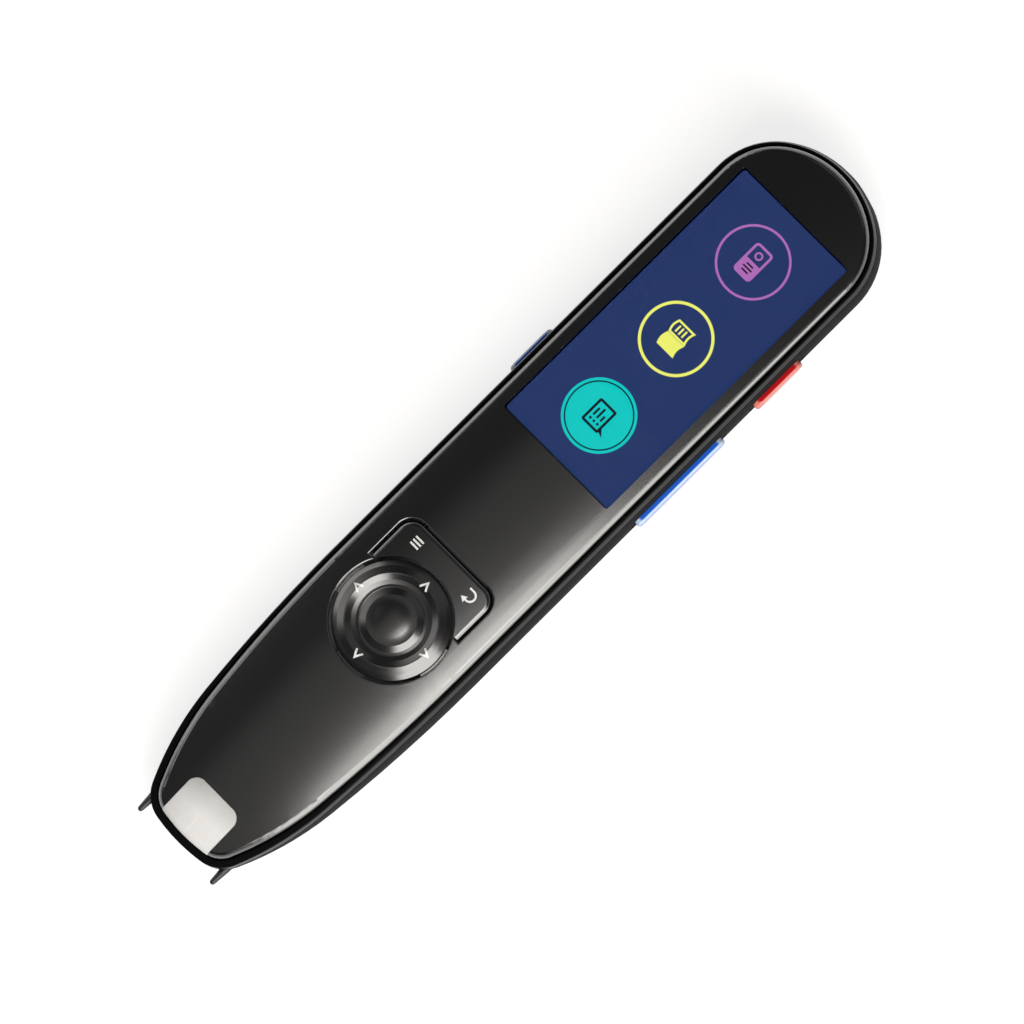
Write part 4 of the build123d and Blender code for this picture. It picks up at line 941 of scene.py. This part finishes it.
def build_camera():
    """The photograph's view: from above, leaning to one side, the tail up to the right."""
    stage = settings("pen_stage")
    back = Vector((0, -math.sin(stage.lean), math.cos(stage.lean)))
    along = Vector((1, 0, 0))
    across = back.cross(along)
    right = along * math.cos(stage.turn) - across * math.sin(stage.turn)
    up = along * math.sin(stage.turn) + across * math.cos(stage.turn)
    # A point at the height of the widest line, and its place in a picture of 1024 pixels
    pivot = Vector((3.28 * MM, 0, 8.7 * MM))
    pivot_x, pivot_y, picture = 526.1, 496.2, 1024
    pixel = stage.picture_width / picture
    aim = pivot + right * (picture / 2 - pivot_x) * pixel - up * (picture / 2 - pivot_y) * pixel
    camera_data = bpy.data.cameras.new("photo_camera")
    camera_data.lens = stage.lens
    camera_data.clip_start = 0.01
    distance = stage.picture_width * stage.lens / camera_data.sensor_width
    turned = Matrix((right, up, back)).transposed().to_4x4()
    camera = bpy.data.objects.new("photo_camera", camera_data)
    camera.matrix_world = Matrix.Translation(aim + back * distance) @ turned
    bpy.context.scene.collection.objects.link(camera)
    bpy.context.scene.camera = camera


# Operators

class PEN_OT_shared_effects(Operator):
    """Build the shader groups that the finishes share, and the white of the printed marks"""
    bl_idname = "pen.shared_effects"
    bl_label = "Shared effects"

    def execute(self, context):
        build_grain_group()
        build_handling_group()
        build_tint_group()
        printed_white()
        return {"FINISHED"}


class PEN_OT_finishes(Operator):
    """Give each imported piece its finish"""
    bl_idname = "pen.finishes"
    bl_label = "Finishes"

    def execute(self, context):
        for node, material in node_finishes().items():
            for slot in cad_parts[node].material_slots:
                slot.material = material
        return {"FINISHED"}


class PEN_OT_key_marks(Operator):
    """Print the chevrons, the list mark and the return arrow on the front keys"""
    bl_idname = "pen.key_marks"
    bl_label = "Key marks"

    def execute(self, context):
        build_chevrons()
        build_list_mark()
        build_return_mark()
        return {"FINISHED"}


class PEN_OT_aiming_line(Operator):
    """Print the aiming line on the nose window"""
    bl_idname = "pen.aiming_line"
    bl_label = "Aiming line"

    def execute(self, context):
        build_aiming_line()
        return {"FINISHED"}


class PEN_OT_screen_image(Operator):
    """Lay the icons of the screen's picture on the display panel"""
    bl_idname = "pen.screen_image"
    bl_label = "Screen image"

    def execute(self, context):
        build_scan_icon()
        build_book_icon()
        build_card_icon()
        return {"FINISHED"}


class PEN_OT_optics(Operator):
    """Add the lamp faces and the front lens behind the scanning glass"""
    bl_idname = "pen.optics"
    bl_label = "Optics"

    def execute(self, context):
        build_lamp_faces()
        build_lens_element()
        return {"FINISHED"}


class PEN_OT_stage(Operator):
    """Set up the paper, the room, the lights and the camera"""
    bl_idname = "pen.stage"
    bl_label = "Stage"

    def execute(self, context):
        context.scene.view_settings.view_transform = "Standard"
        build_paper()
        build_world()
        build_lights()
        build_camera()
        return {"FINISHED"}


OPERATORS = (
    PEN_OT_shared_effects,
    PEN_OT_finishes,
    PEN_OT_key_marks,
    PEN_OT_aiming_line,
    PEN_OT_screen_image,
    PEN_OT_optics,
    PEN_OT_stage,
)

SETTINGS = {
    "pen_finish": PenFinishSettings,
    "pen_marks": PenMarkSettings,
    "pen_screen": PenScreenSettings,
    "pen_stage": PenStageSettings,
}


class PEN_PT_sidebar(Panel):
    """Settings and steps of the scanning pen"""
    bl_idname = "PEN_PT_sidebar"
    bl_label = "Scanning pen"
    bl_space_type = "VIEW_3D"
    bl_region_type = "UI"
    bl_category = "Scanning pen"

    def draw(self, context):
        for name, group in SETTINGS.items():
            box = self.layout.box()
            for key in group.__annotations__:
                box.prop(getattr(context.scene, name), key)
        for operator in OPERATORS:
            self.layout.operator(operator.bl_idname)


def register():
    for name, group in SETTINGS.items():
        bpy.utils.register_class(group)
        setattr(bpy.types.Scene, name, PointerProperty(type=group))
    for operator in OPERATORS:
        bpy.utils.register_class(operator)
    bpy.utils.register_class(PEN_PT_sidebar)


def unregister():
    bpy.utils.unregister_class(PEN_PT_sidebar)
    for operator in reversed(OPERATORS):
        bpy.utils.unregister_class(operator)
    for name, group in reversed(SETTINGS.items()):
        delattr(bpy.types.Scene, name)
        bpy.utils.unregister_class(group)


def main():
    register()
    bpy.ops.pen.shared_effects()
    bpy.ops.pen.finishes()
    bpy.ops.pen.key_marks()
    bpy.ops.pen.aiming_line()
    bpy.ops.pen.screen_image()
    bpy.ops.pen.optics()
    bpy.ops.pen.stage()


if __name__ == "__main__":
    main()
